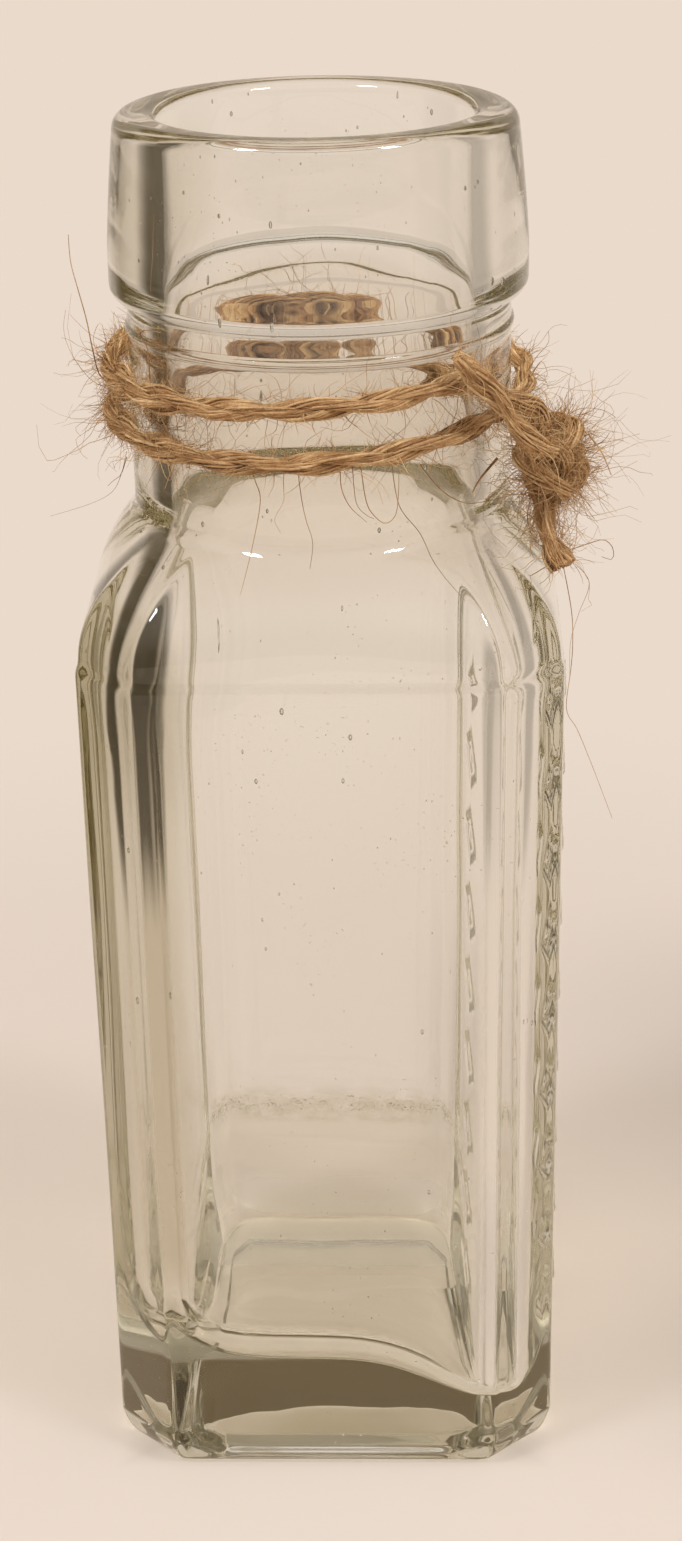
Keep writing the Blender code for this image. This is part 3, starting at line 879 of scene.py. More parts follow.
@dataclass
class Bottle:
    """The bottle's glass, outside and inside, with its raised lozenges."""

    foot_width: float = 0.0480
    shoulder_width: float = 0.0497
    shoulder_height: float = 0.0925
    corner_cut: float = 0.00645
    corner_edge_radius: float = 0.0016
    shoulder_edge_radius: float = 0.0014
    shoulder_edge_inset: float = 0.00035
    heel_inset: float = 0.00164
    heel_height: float = 0.0035
    foot_rim_width: float = 0.0050
    foot_rim_rounding: float = 0.0002
    base_recess_depth: float = 0.0007
    base_recess_dome: float = 0.15
    base_recess_slope: float = 0.0012
    base_shares: tuple = (0.3, 0.65, 0.9, 1.0)
    slope_shares: tuple = (0.2, 0.5, 0.8, 0.97)
    heel_shares: tuple = (0.08, 0.2, 0.34, 0.48, 0.62, 0.74, 0.84, 0.92, 1.0)
    edge_shares: tuple = (0.35, 0.65, 0.88)
    body_steps: int = 140
    shoulder_steps: int = 26
    neck_radius: float = 0.01965
    neck_base_height: float = 0.1045
    neck_fillet: float = 0.0010
    fillet_foot: float = 0.3
    fillet_middle: tuple = (0.12, 0.4)
    neck_steps: int = 14
    seam_height: float = 0.1235
    seam_width: float = 0.0012
    seam_proud: float = 0.0003
    seam_shares: tuple = (0.15, 0.3, 0.5, 0.7, 0.85, 1.0)
    seam_power: float = 0.7
    lip_bottom_height: float = 0.1264
    lip_crease: tuple = ((0.0, 0.0004), (0.0, 0.00028), (0.08, 0.0001))
    lip_radius: float = 0.0214
    lip_widest_height: float = 0.1310
    lip_heel_radius: float = 0.0017
    lip_top_radius: float = 0.0204
    lip_outer_rounding: float = 0.0017
    lip_inner_rounding: float = 0.0014
    lip_lean_power: float = 1.3
    height: float = 0.1450
    bore_radius: float = 0.0159
    bore_steps: int = 96
    ring_gap: float = 0.00012
    body_wall: float = 0.0042
    inner_corner_radius: float = 0.0120
    bore_bottom_height: float = 0.1033
    inner_shoulder_drops: tuple = (
        (-180, 0.0050), (-150, 0.0085), (-122, 0.0090), (-104, 0.0050), (-90, 0.0030),
        (0, 0.0030), (150, 0.0030),
    )
    inner_shoulder_rounding: float = 0.0014
    inner_shoulder_steps: int = 50
    even_steps: int = 25
    wall_bend: float = 0.86
    wall_steps: tuple = (26, 22)
    floor_thickness: float = 0.0094
    floor_rise: float = 0.0003
    floor_slump: float = 0.0068
    floor_fillets: tuple = (
        (-160, 0.0080), (-135, 0.0108), (-90, 0.0105), (-72, 0.0098), (-60, 0.0082),
        (-52, 0.0050), (-46, 0.0022), (-30, 0.0020), (0, 0.0036), (45, 0.0042), (90, 0.0045),
        (135, 0.0050), (180, 0.0062),
    )
    floor_fillet_heights: tuple = (
        (-135, 0.0100), (-90, 0.0100), (-72, 0.0094), (-60, 0.0080), (-52, 0.0050),
        (-46, 0.0024), (-30, 0.0030), (0, 0.0080), (45, 0.0115), (90, 0.0122), (135, 0.0120),
        (180, 0.0110),
    )
    floor_rings: int = 9
    fillet_steps: int = 19
    settle_height: float = 0.0216
    settle_width: float = 0.0011
    settle_depth: float = 0.00030
    settle_waver: tuple = ((0.0006, 3), (0.0004, 11))
    settle_sides: float = 0.4
    settle_back: float = 1.4
    tool_mark_height: float = 0.1200
    tool_mark_reach: float = 0.0100
    tool_mark_pitch: float = 0.0037
    tool_mark_depth: float = 0.00004
    shoulder_power: float = 2.2
    outer_wave: float = 0.00005
    inner_wave: float = 0.00010
    wave_seeds: tuple = (11, 23)
    wave_count: int = 14
    wave_stretch: float = 0.35
    wave_lengths: tuple = (0.010, 0.034)
    wave_from: float = 0.003
    wave_full_over: float = 0.006
    dense_reach_deg: float = 16

    def columns(self) -> np.ndarray:
        """Return the angles of the skin's columns, closest at the corners and the lozenges.

        Returns:
            The angles, once round.
        """
        half, dense = self.shoulder_width / 2, self.dense_reach_deg
        vertex = math.degrees(math.atan2(half - self.corner_cut, half))
        near = (-4.2, -2.8, -1.8, -1.1, -0.5, 0, 0.5, 1.1, 1.8, 2.8, 4.2)
        reach = vertex - near[-1]
        raised = [
            *np.linspace(-reach, -dense - 1, 7)[1:], *np.linspace(-dense, dense, 41),
            *np.linspace(dense + 1, reach, 7)[:-1],
        ]
        plain = np.linspace(-reach, reach, 15)[1:-1]
        facet = np.linspace(vertex + near[-1], 90 - vertex - near[-1], 5)[1:-1]
        corner = [*(vertex + n for n in near), *facet, *(90 - vertex + n for n in near)]
        quarters = ([*(plain if quarter else raised), *corner] for quarter in range(4))
        return np.radians([90 * i + angle for i, own in enumerate(quarters) for angle in own])

    def square(self, angles: np.ndarray, half: float, rounding: float) -> np.ndarray:
        """Return how far the cut square reaches at each angle.

        Args:
            angles: The columns' angles.
            half: Half its width across the flats.
            rounding: The radius of its eight edges.

        Returns:
            The distances from the axis.
        """
        cut = self.corner_cut * half / (self.shoulder_width / 2)
        facet = (2 * half - cut) / math.sqrt(2)
        overshoot = 1 / math.cos(math.radians(22.5)) - 1
        power = math.log(2) * half / (overshoot * rounding)
        total = np.zeros_like(angles)
        for side in range(8):
            reach = np.maximum(np.cos(angles - side * math.pi / 4), 0)
            total += (reach / (facet if side % 2 else half)) ** power
        return total ** (-1 / power)

    def body_half(self, height: float | np.ndarray) -> float | np.ndarray:
        """Return half the body's outer width at a height."""
        grown = (self.shoulder_width - self.foot_width) * height / self.shoulder_height
        return (self.foot_width + grown) / 2

    def outer_rings(self, angles: np.ndarray) -> list[Ring]:
        """Return the rings from the recess under the base to the foot of the neck.

        Args:
            angles: The columns' angles.

        Returns:
            The rings, from the bottom up.
        """
        edge, flat = self.corner_edge_radius, np.ones_like(angles)
        depth, slope = self.base_recess_depth, self.base_recess_slope
        rings: list[Ring] = []

        def add(half: float, height: float) -> None:
            """Add a ring, the cut square of that half width."""
            rings.append((self.square(angles, half, edge), flat * height))

        foot = self.body_half(0) - self.heel_inset
        recess = foot - self.foot_rim_width
        for share in self.base_shares:
            add((recess - slope) * share, depth * (1 + self.base_recess_dome * (1 - share)))
        for share in self.slope_shares:
            add(recess - slope * (1 - share), depth * (1 + math.cos(math.pi * share)) / 2)
        add(recess + self.foot_rim_rounding, 0)
        add(foot - self.foot_rim_rounding, 0)
        heel = self.body_half(self.heel_height) - foot
        for share in self.heel_shares:
            add(foot + heel * share, self.heel_height * share ** 2)
        below = self.shoulder_height - self.shoulder_edge_radius
        for height in np.linspace(self.heel_height, below, self.body_steps)[1:]:
            add(self.body_half(height), height)
        half, inset = self.shoulder_width / 2, self.shoulder_edge_inset
        for share in self.edge_shares:
            add(half - inset * share ** 2, below + self.shoulder_edge_radius * share)
        top = self.square(angles, half - inset, edge)
        neck = self.neck_radius + self.fillet_foot * self.neck_fillet
        for share in np.linspace(0, 1, self.shoulder_steps)[1:]:
            inward = share ** self.shoulder_power
            height = self.shoulder_height + share * (self.neck_base_height - self.shoulder_height)
            rings.append((top * (1 - inward) + neck * inward, flat * height))
        return rings

    @staticmethod
    def arc(radius: float, across: float, height: float, up: float, turns: tuple) -> list[tuple]:
        """Return nine points of an arc's profile.

        Args:
            radius: The radius at its middle.
            across: How far it reaches across.
            height: The height of its middle.
            up: How far it reaches up.
            turns: The angles where it starts and ends, in degrees.

        Returns:
            Radii and heights.
        """
        angles = np.radians(np.linspace(*turns, 9))
        return [(radius + across * math.cos(a), height + up * math.sin(a)) for a in angles]

    def neck_rings(self, angles: np.ndarray) -> list[Ring]:
        """Return the rings up the neck, over the lip and down the bore.

        Args:
            angles: The columns' angles.

        Returns:
            The rings in order.
        """
        neck, bottom, gap = self.neck_radius, self.lip_bottom_height, self.ring_gap
        base, fillet = self.neck_base_height, self.neck_fillet
        rise = self.seam_height - self.seam_width / 2
        out, up = self.fillet_middle
        profile = [(neck + out * fillet, base + up * fillet), (neck, base + fillet)]
        plain = np.linspace(base + fillet + gap, rise - gap, self.neck_steps)
        profile += [(neck, height) for height in [*plain, rise]]
        for share in self.seam_shares:
            bump = math.sin(math.pi * share) ** self.seam_power if share < 1 else 0
            profile.append((neck + self.seam_proud * bump, rise + self.seam_width * share))
        above, overhang = rise + self.seam_width, self.lip_radius - neck
        profile += [
            (neck, above + gap), (neck, (above + bottom) / 2),
            *((neck + share * overhang, bottom - below) for share, below in self.lip_crease),
        ]
        heel = bottom + self.lip_heel_radius
        profile += self.arc(neck, overhang, heel, self.lip_heel_radius, (-80, 0))
        rounding = self.lip_outer_rounding
        top_start = self.height - rounding
        for share in np.linspace(0, 1, 9)[1:]:
            height = heel + (top_start - heel) * share
            lean = (height - self.lip_widest_height) / (top_start - self.lip_widest_height)
            narrower = max(0.0, lean) ** self.lip_lean_power
            narrower *= self.lip_top_radius - self.lip_radius
            profile.append((self.lip_radius + narrower, height))
        outer = self.lip_top_radius - rounding
        profile += self.arc(outer, rounding, top_start, rounding, (0, 90))[1:]
        rounding = self.lip_inner_rounding
        inner = self.bore_radius + rounding
        profile += self.arc(inner, rounding, self.height - rounding, rounding, (90, 180))
        flat = np.ones_like(angles)
        rings = [(flat * radius, flat * height) for radius, height in profile]
        start = self.height - rounding - gap
        end = self.bore_bottom_height + self.inner_shoulder_rounding
        for height in np.linspace(start, end, self.bore_steps):
            near = math.exp(-(((height - self.tool_mark_height) / self.tool_mark_reach) ** 2))
            phase = TURN * height / self.tool_mark_pitch + np.sin(2 * angles + 1) + 2 * near
            mark = self.tool_mark_depth * near * np.sin(phase)
            rings.append((self.bore_radius + mark, flat * height))
        return rings

    def inner_rings(self, angles: np.ndarray) -> list[Ring]:
        """Return the rings from under the bore down the cavity and in across its floor.

        Args:
            angles: The columns' angles.

        Returns:
            The rings in order.
        """
        rounding, even = self.inner_corner_radius, self.inner_shoulder_rounding
        bore, shoulder = self.bore_bottom_height, self.shoulder_height
        shoulder = shoulder - self.around(self.inner_shoulder_drops, angles)
        start, top = bore + even, shoulder - even
        half = self.body_half(self.shoulder_height) - self.body_wall
        square = self.square(angles, half, rounding)
        rings = []
        for down in np.linspace(0, 1, self.inner_shoulder_steps)[1:]:
            height = start + (top - start) * down
            near = height + np.linspace(-even, even, self.even_steps)[:, None]
            share = np.clip((near - shoulder) / (bore - shoulder), 0, 1)
            inward = np.mean(share ** self.shoulder_power, axis=0)
            wall = square * (self.body_half(height) - self.body_wall) / half
            rings.append((self.bore_radius * inward + wall * (1 - inward), height))
        low = self.body_half(self.floor_thickness) - self.body_wall
        wall = self.square(angles, low, rounding)

        def floor_height(radius: np.ndarray) -> np.ndarray:
            """Return the floor's height under a ring.

            Args:
                radius: The ring's radius at each angle.

            Returns:
                The height at each angle.
            """
            x, y = radius * np.cos(angles) / low, radius * np.sin(angles) / low
            slump = self.floor_slump * np.maximum(0, x) ** 2 * np.maximum(0, -y)
            return self.floor_thickness + self.floor_rise * y - slump

        fillet = self.around(self.floor_fillets, angles)
        tall = self.around(self.floor_fillet_heights, angles)
        meeting = floor_height(wall) + tall
        bend, (above, below) = self.wall_bend, self.wall_steps
        for share in [*np.linspace(0, bend, above)[1:], *np.linspace(bend, 1, below)[1:]]:
            height = top + (meeting - top) * share
            reach = wall * (self.body_half(height) - self.body_wall) / low
            rings.append((reach - self.settle(angles, height), height))
        for angle in np.radians(np.linspace(0, 90, self.fillet_steps)[1:]):
            radius = wall * (1 - fillet * (1 - math.cos(angle)) / low)
            rings.append((radius, floor_height(radius) + tall * (1 - math.sin(angle))))
        last = wall * (1 - fillet / low)
        for share in np.linspace(1, 0, self.floor_rings)[1:-1]:
            rings.append((last * share, floor_height(last * share)))
        return rings

    def settle(self, angles: np.ndarray, height: np.ndarray) -> np.ndarray:
        """Return how far the settle mark, a soft ridge low on the back, stands into the cavity.

        Args:
            angles: The columns' angles.
            height: The ring's height at each of them.

        Returns:
            The ridge's depth at each.
        """
        middle = self.settle_height
        for depth, waves in self.settle_waver:
            middle = middle + depth * np.sin(waves * angles)
        near = np.exp(-(((height - middle) / self.settle_width) ** 2))
        share = self.settle_sides + self.settle_back * np.sin(angles)
        return self.settle_depth * near * np.clip(share, 0, 1)

    @staticmethod
    def around(table: tuple, angles: np.ndarray) -> np.ndarray:
        """Return a size that changes round the bottle, evened out, at each angle.

        Args:
            table: Pairs of a direction in degrees and the size there.
            angles: The columns' angles.

        Returns:
            The sizes.
        """
        degrees = np.arange(360)
        even = np.interp(degrees, *zip(*table), period=360)
        for reach in (3, 5, 7):
            even = sum(np.roll(even, k) for k in range(-reach, reach + 1)) / (2 * reach + 1)
        return np.interp(np.degrees(angles), degrees, even, period=360)

    def ripple(self, points: np.ndarray, seed: int) -> np.ndarray:
        """Return a soft wave at each point, between about -1 and 1, longer up than across.

        Args:
            points: The points' places, one row each.
            seed: Which wave.

        Returns:
            The wave at each point.
        """
        draw = np.random.default_rng(seed)
        total = np.zeros(len(points))
        for _ in range(self.wave_count):
            way = draw.normal(size=3)
            way /= np.linalg.norm(way)
            way[2] *= self.wave_stretch
            wave = draw.uniform(*self.wave_lengths)
            total += np.sin(points @ way * TURN / wave + draw.uniform(0, TURN))
        return total / math.sqrt(self.wave_count)

    def skin(self) -> Mesh:
        """Return the glass as one closed skin, without its lozenges.

        Returns:
            The mesh.
        """
        angles = self.columns()
        outer = self.outer_rings(angles) + self.neck_rings(angles)
        rings = outer + self.inner_rings(angles)
        count = len(angles)
        radius, height = (np.array(part) for part in zip(*rings))
        points = np.stack([radius * np.cos(angles), radius * np.sin(angles), height], 2)
        points = points.reshape(-1, 3)
        inside = np.arange(len(points)) >= len(outer) * count
        off_foot = np.clip((points[:, 2] - self.wave_from) / self.wave_full_over, 0, 1)
        outer_seed, inner_seed = self.wave_seeds
        wave = np.where(
            inside,
            self.ripple(points, inner_seed) * self.inner_wave,
            self.ripple(points, outer_seed) * self.outer_wave * off_foot,
        )
        away = np.maximum(np.linalg.norm(points[:, :2], axis=1), 1e-6)
        points[:, :2] += points[:, :2] * (wave / away)[:, None]
        deep = slice(-self.floor_rings * count, None)
        points[deep, 2] += wave[deep]
        ends = ((0, 0, self.base_recess_depth * (1 + self.base_recess_dome)),
                (0, 0, self.floor_thickness + float(wave[-1])))
        index = np.arange(len(points)).reshape(len(rings), count)
        after = np.roll(index, -1, axis=1)
        quads = np.stack([index[:-1], after[:-1], after[1:], index[1:]], 2).reshape(-1, 4)
        faces = quads.tolist()
        last = len(points)
        faces += [(last, int(b), int(a)) for a, b in zip(index[0], after[0])]
        faces += [(last + 1, int(a), int(b)) for a, b in zip(index[-1], after[-1])]
        mesh = bpy.data.meshes.new("bottle_skin")
        mesh.from_pydata([*points.tolist(), *ends], [], faces)
        return mesh

    def build(self) -> None:
        """Make the glass and its seeds."""
        glass = GlassFinish().material("pressed_glass")
        bottle = Lozenges().recipe(glass).make(self.skin(), "bottle_glass")
        declare(bottle, Body.BOTTLE, Slot.GLASS, "bottle")
        air = SeedFinish().material("seed_air")
        seeds = Seeds().recipe(air).make(self.skin(), "glass_seeds")
        declare(seeds, Body.BOTTLE, Slot.GLASS)


# Twine


@dataclass(frozen=True)
class Yarn:
    """How the twine is laid up: two plies of fibres, twisted one way, and the fibres the other."""

    diameter: float = 0.0023
    plies: int = 2
    fibres: int = 20
    ply_offset: float = 0.00050
    ply_radius: float = 0.00050
    fibre_radius: float = 0.000115
    core_radius: float = 0.00044
    ply_pitch: float = 0.0165
    fibre_pitch: float = 0.0185
    spread: float = 0.36
    wander: float = 0.00014
    wander_scale: float = 620.0
    drift_scale: float = 170.0
    point_step: float = 0.0005
    drift_apart: ClassVar[float] = 3.7
    wander_apart: ClassVar[float] = 0.31
    thickness: ClassVar[tuple] = (0.7, 0.5, 0.3)
    sides: ClassVar[int] = 4

    def recipe(self, name: str, jute: Material) -> Recipe:
        """Return the tree that lays the yarn along bare lines, as thick as their "swell".

        Args:
            name: The tree's name.
            jute: The finish.

        Returns:
            The tree.
        """
        recipe = Recipe(name, jute, **vars(self))
        desk, given = recipe.desk, recipe.given
        strands = desk.node(
            "GeometryNodeDuplicateElements",
            {"Geometry": recipe.curves(), "Amount": given("Plies") * given("Fibres")},
            domain="SPLINE",
        )
        number = Flow(desk, strands.outputs["Duplicate Index"])
        luck = desk.luck(5, number)
        along = desk.flow("GeometryNodeSplineParameter", output="Length")
        swell = desk.flow("GeometryNodeInputNamedAttribute", {"Name": "swell"}, data_type="FLOAT")
        fibre = number % given("Fibres")
        ply = (number / given("Fibres")).floor()
        outer = fibre.above(0.5)
        normal = desk.flow("GeometryNodeInputNormal")
        other = desk.vector("CROSS_PRODUCT", desk.flow("GeometryNodeInputTangent"), normal)
        place = desk.flow("GeometryNodeInputPosition")
        ply_turn = (along / given("Ply Pitch") + ply / given("Plies")) * TURN
        fibre_turn = (fibre / (given("Fibres") - 1) - along / given("Fibre Pitch")) * TURN
        run = desk.joined(along * self.drift_scale, number * self.drift_apart, 0.0)
        drift = desk.noise(run, 1.0, 1.0)
        reach = given("Ply Radius") * outer * swell
        reach = reach * (1 - given("Spread") / 2 + given("Spread") * (luck + drift * 2 - 1))
        offset = given("Ply Offset") * swell
        across = offset * ply_turn.cosine() + reach * fibre_turn.cosine()
        upward = offset * ply_turn.sine() + reach * fibre_turn.sine()
        apart = desk.vector("ADD", place, desk.joined(number * self.wander_apart, 0.0, 0.0))
        shake = desk.shake(apart, Scale=given("Wander Scale"), Detail=1.0)
        shake = desk.scaled(shake, given("Wander") * outer * 2)
        moved = desk.vector("ADD", desk.scaled(normal, across), desk.scaled(other, upward))
        laid = desk.moved(strands, Offset=desk.vector("ADD", moved, shake))
        least, lucky, drifting = self.thickness
        thick = given("Fibre Radius") * (least + luck * lucky + drift * drifting)
        radius = thick * outer + given("Core Radius") * swell * (1 - outer)
        recipe.tubes(laid, along, luck, radius, self.sides)
        return recipe


@dataclass(frozen=True)
class Fuzz:
    """The short loose hairs of a stretch of twine."""

    count: int
    length: float = 0.0020
    length_spread: float = 0.0028
    hair_radius: float = 0.000036
    root: float = 0.00085
    lift: float = 0.70
    curl: float = 0.85
    curl_scale: float = 260.0
    seed: int = 1
    points: int = 10
    clear: float = 0.00016
    clear_below: float = 0.0006
    corner_reach: float = 0.0312
    least_lift: ClassVar[float] = 0.25
    least_length: ClassVar[float] = 0.3
    rarity: ClassVar[float] = 6.0
    rare_gain: ClassVar[float] = 2
    curl_apart: ClassVar[float] = 0.73
    curl_power: ClassVar[float] = 1.4
    curl_gain: ClassVar[float] = 3
    thickness: ClassVar[tuple] = (0.6, 0.8)
    taper: ClassVar[float] = 0.6
    tones: ClassVar[tuple] = (0.7, 0.3)
    sides: ClassVar[int] = 3

    def recipe(self, name: str, jute: Material, bottle: Bottle) -> Recipe:
        """Return the tree that grows hairs along bare lines and keeps them out of the glass.

        Args:
            name: The tree's name.
            jute: The finish.
            bottle: The bottle that the hairs stay clear of.

        Returns:
            The tree.
        """
        recipe = Recipe(
            name, jute, **vars(self),
            neck_radius=bottle.neck_radius + self.clear, neck_base=bottle.neck_base_height,
            lip_radius=bottle.lip_radius + self.clear,
            lip_bottom=bottle.lip_bottom_height - self.clear_below,
            shoulder_height=bottle.shoulder_height,
        )
        desk, given = recipe.desk, recipe.given
        roots = desk.node("GeometryNodePoints", {"Count": given("Count")})
        luck = [desk.luck(given("Seed") + extra) for extra in (0, 10, 20, 30, 40, 50)]
        lines = desk.node("GeometryNodeMeshToCurve", {0: recipe.base})
        inputs = {"Curves": lines, "Factor": luck[0]}
        spot = desk.node("GeometryNodeSampleCurve", inputs, use_all_curves=True)
        place, tangent, normal = (
            Flow(desk, spot.outputs[name]) for name in ("Position", "Tangent", "Normal")
        )
        other = desk.vector("CROSS_PRODUCT", tangent, normal)
        turn = luck[1] * TURN
        out = desk.vector(
            "ADD", desk.scaled(normal, turn.cosine()), desk.scaled(other, turn.sine())
        )
        lifted = desk.scaled(out, given("Lift") * (self.least_lift + luck[3]))
        way = desk.vector("ADD", desk.scaled(tangent, luck[2] * 2 - 1), lifted)
        way = desk.vector("NORMALIZE", way)
        root = desk.vector("ADD", place, desk.scaled(out, given("Root")))
        hair = desk.node("GeometryNodeCurvePrimitiveLine", {"End": (0.0, 0.0, 1.0)})
        inputs = {"Curve": hair, "Count": self.points}
        jointed = desk.node("GeometryNodeResampleCurve", inputs, mode="COUNT")
        turned = desk.flow("FunctionNodeAlignRotationToVector", {"Vector": way}, axis="Z")
        long = given("Length") * (self.least_length + luck[4])
        long = long + given("Length Spread") * luck[5] ** self.rarity * self.rare_gain
        grown = desk.node("GeometryNodeInstanceOnPoints", {
            "Points": desk.moved(roots, Position=root), "Instance": jointed,
            "Rotation": turned, "Scale": desk.joined(long, long, long),
        })
        real = desk.node("GeometryNodeRealizeInstances", {0: grown})
        share = desk.flow("GeometryNodeSplineParameter", output="Factor")
        reach = desk.flow("GeometryNodeSplineLength", output="Length")
        number = desk.flow("GeometryNodeCurveOfPoint", output="Curve Index")
        position = desk.flow("GeometryNodeInputPosition")
        apart = number * self.curl_apart
        bend = desk.shake(position, W=apart, Scale=given("Curl Scale"), Detail=0.5)
        curl = given("Curl") * reach * share ** self.curl_power * self.curl_gain
        bend = desk.scaled(bend, curl)
        kept = desk.moved(desk.moved(real, Offset=bend), Position=self._outside(recipe))
        chance = desk.luck(2, number)
        (least, lucky), (brighter, darkest) = self.thickness, self.tones
        radius = given("Hair Radius") * (least + chance * lucky) * (1 - share * self.taper)
        recipe.tubes(kept, share * reach, chance * brighter + darkest, radius, self.sides)
        return recipe

    @staticmethod
    def _outside(recipe: Recipe) -> Flow:
        """Return each point's place, pushed out of the glass where it is in it.

        Args:
            recipe: The tree that the field is for.

        Returns:
            The places.
        """
        desk, given = recipe.desk, recipe.given
        x, y, z = desk.parts(desk.flow("GeometryNodeInputPosition"))
        reach = (x * x + y * y) ** 0.5
        down = (given("Neck Base") - z) / (given("Neck Base") - given("Shoulder Height"))
        down = down.most(0.0).least(1.0)
        least = given("Neck Radius") + down * (given("Corner Reach") - given("Neck Radius"))
        least = least.most(given("Lip Radius") * z.above(given("Lip Bottom")))
        grow = (least / reach).most(1.0)
        return desk.joined(x * grow, y * grow, z)


# Each long loose fibre: its radius in hundredths of a millimetre, and the points that it passes
# in tenths of one.
HUNDREDTHS, TENTHS = 100000, 10000
LOOSE_FIBRES = {
    "left": (
        (8, (-208, -30, 1170), (-225, -30, 1185), (-231, -30, 1211), (-236, -30, 1243),
         (-243, -30, 1274), (-249, -30, 1302), (-250, -30, 1330)),
        (3, (-211, -20, 1165), (-232, -20, 1175), (-244, -20, 1188), (-256, -20, 1209),
         (-261, -20, 1230), (-258, -20, 1251)),
        (5, (-204, -50, 1182), (-211, -50, 1208), (-216, -50, 1232), (-219, -50, 1245),
         (-225, -50, 1237), (-227, -50, 1222), (-213, -50, 1187)),
        (9, (-165, -121, 1188), (-165, -121, 1214), (-166, -120, 1235), (-173, -110, 1245),
         (-170, -122, 1253), (-160, -137, 1257), (-150, -150, 1258)),
        (3, (-199, -50, 1110), (-206, -45, 1085), (-217, -40, 1064), (-241, -40, 1051),
         (-283, -40, 1038)),
        (5, (-198, -60, 1107), (-205, -60, 1088), (-213, -60, 1082), (-219, -60, 1076)),
    ),
    "front": (
        (5, (-63, -205, 1139), (-57, -205, 1122), (-53, -206, 1102), (-62, -216, 1057),
         (-73, -240, 1018)),
        (5, (-16, -211, 1142), (-12, -211, 1105), (-8, -212, 1084), (-2, -216, 1063),
         (-5, -225, 1039)),
        (6, (26, -210, 1138), (27, -209, 1116), (35, -208, 1097), (51, -204, 1080)),
        (5, (38, -208, 1137), (41, -207, 1101), (51, -204, 1087), (58, -202, 1083)),
        (6, (46, -206, 1137), (51, -204, 1100), (60, -202, 1084), (70, -199, 1077),
         (79, -195, 1084), (82, -193, 1102), (83, -196, 1128)),
        (5, (76, -197, 1137), (83, -193, 1093), (103, -188, 1063), (116, -194, 1036),
         (133, -202, 1014), (147, -208, 998)),
        (6, (103, -184, 1133), (125, -169, 1101), (148, -148, 1082), (173, -118, 1075),
         (206, -90, 1075)),
        (16, (180, -129, 1122), (163, -148, 1107), (155, -156, 1095)),
    ),
    "right": (
        (5, (245, -152, 1022), (254, -168, 975), (255, -185, 945), (253, -194, 921),
         (249, -197, 880), (260, -197, 858), (275, -197, 820), (297, -197, 760)),
        (3, (258, -150, 1018), (272, -160, 1001), (261, -172, 972), (253, -185, 948),
         (252, -192, 915)),
        (4, (215, -70, 1190), (225, -75, 1207), (231, -80, 1195), (226, -80, 1186)),
        (4, (211, -70, 1195), (221, -70, 1211), (232, -70, 1224), (232, -70, 1236)),
        (3, (253, -90, 1150), (252, -90, 1176), (252, -90, 1186), (255, -90, 1204)),
        (4, (243, -100, 1150), (262, -100, 1164), (285, -100, 1163), (299, -100, 1155)),
        (3, (270, -100, 1126), (288, -100, 1129), (305, -100, 1133), (324, -100, 1138)),
        (6, (270, -100, 1123), (286, -100, 1130), (293, -100, 1139)),
        (10, (272, -110, 1140), (285, -110, 1122), (295, -110, 1098)),
        (4, (258, -110, 1090), (271, -110, 1064), (279, -110, 1052)),
        (14, (241, -110, 1150), (246, -110, 1160), (249, -110, 1168)),
        (6, (255, -140, 1030), (281, -140, 1039), (289, -140, 1039), (296, -140, 1031),
         (296, -140, 1019), (285, -140, 1022)),
        (6, (213, -145, 1083), (210, -145, 1063), (218, -148, 1042), (231, -150, 1032)),
    ),
}


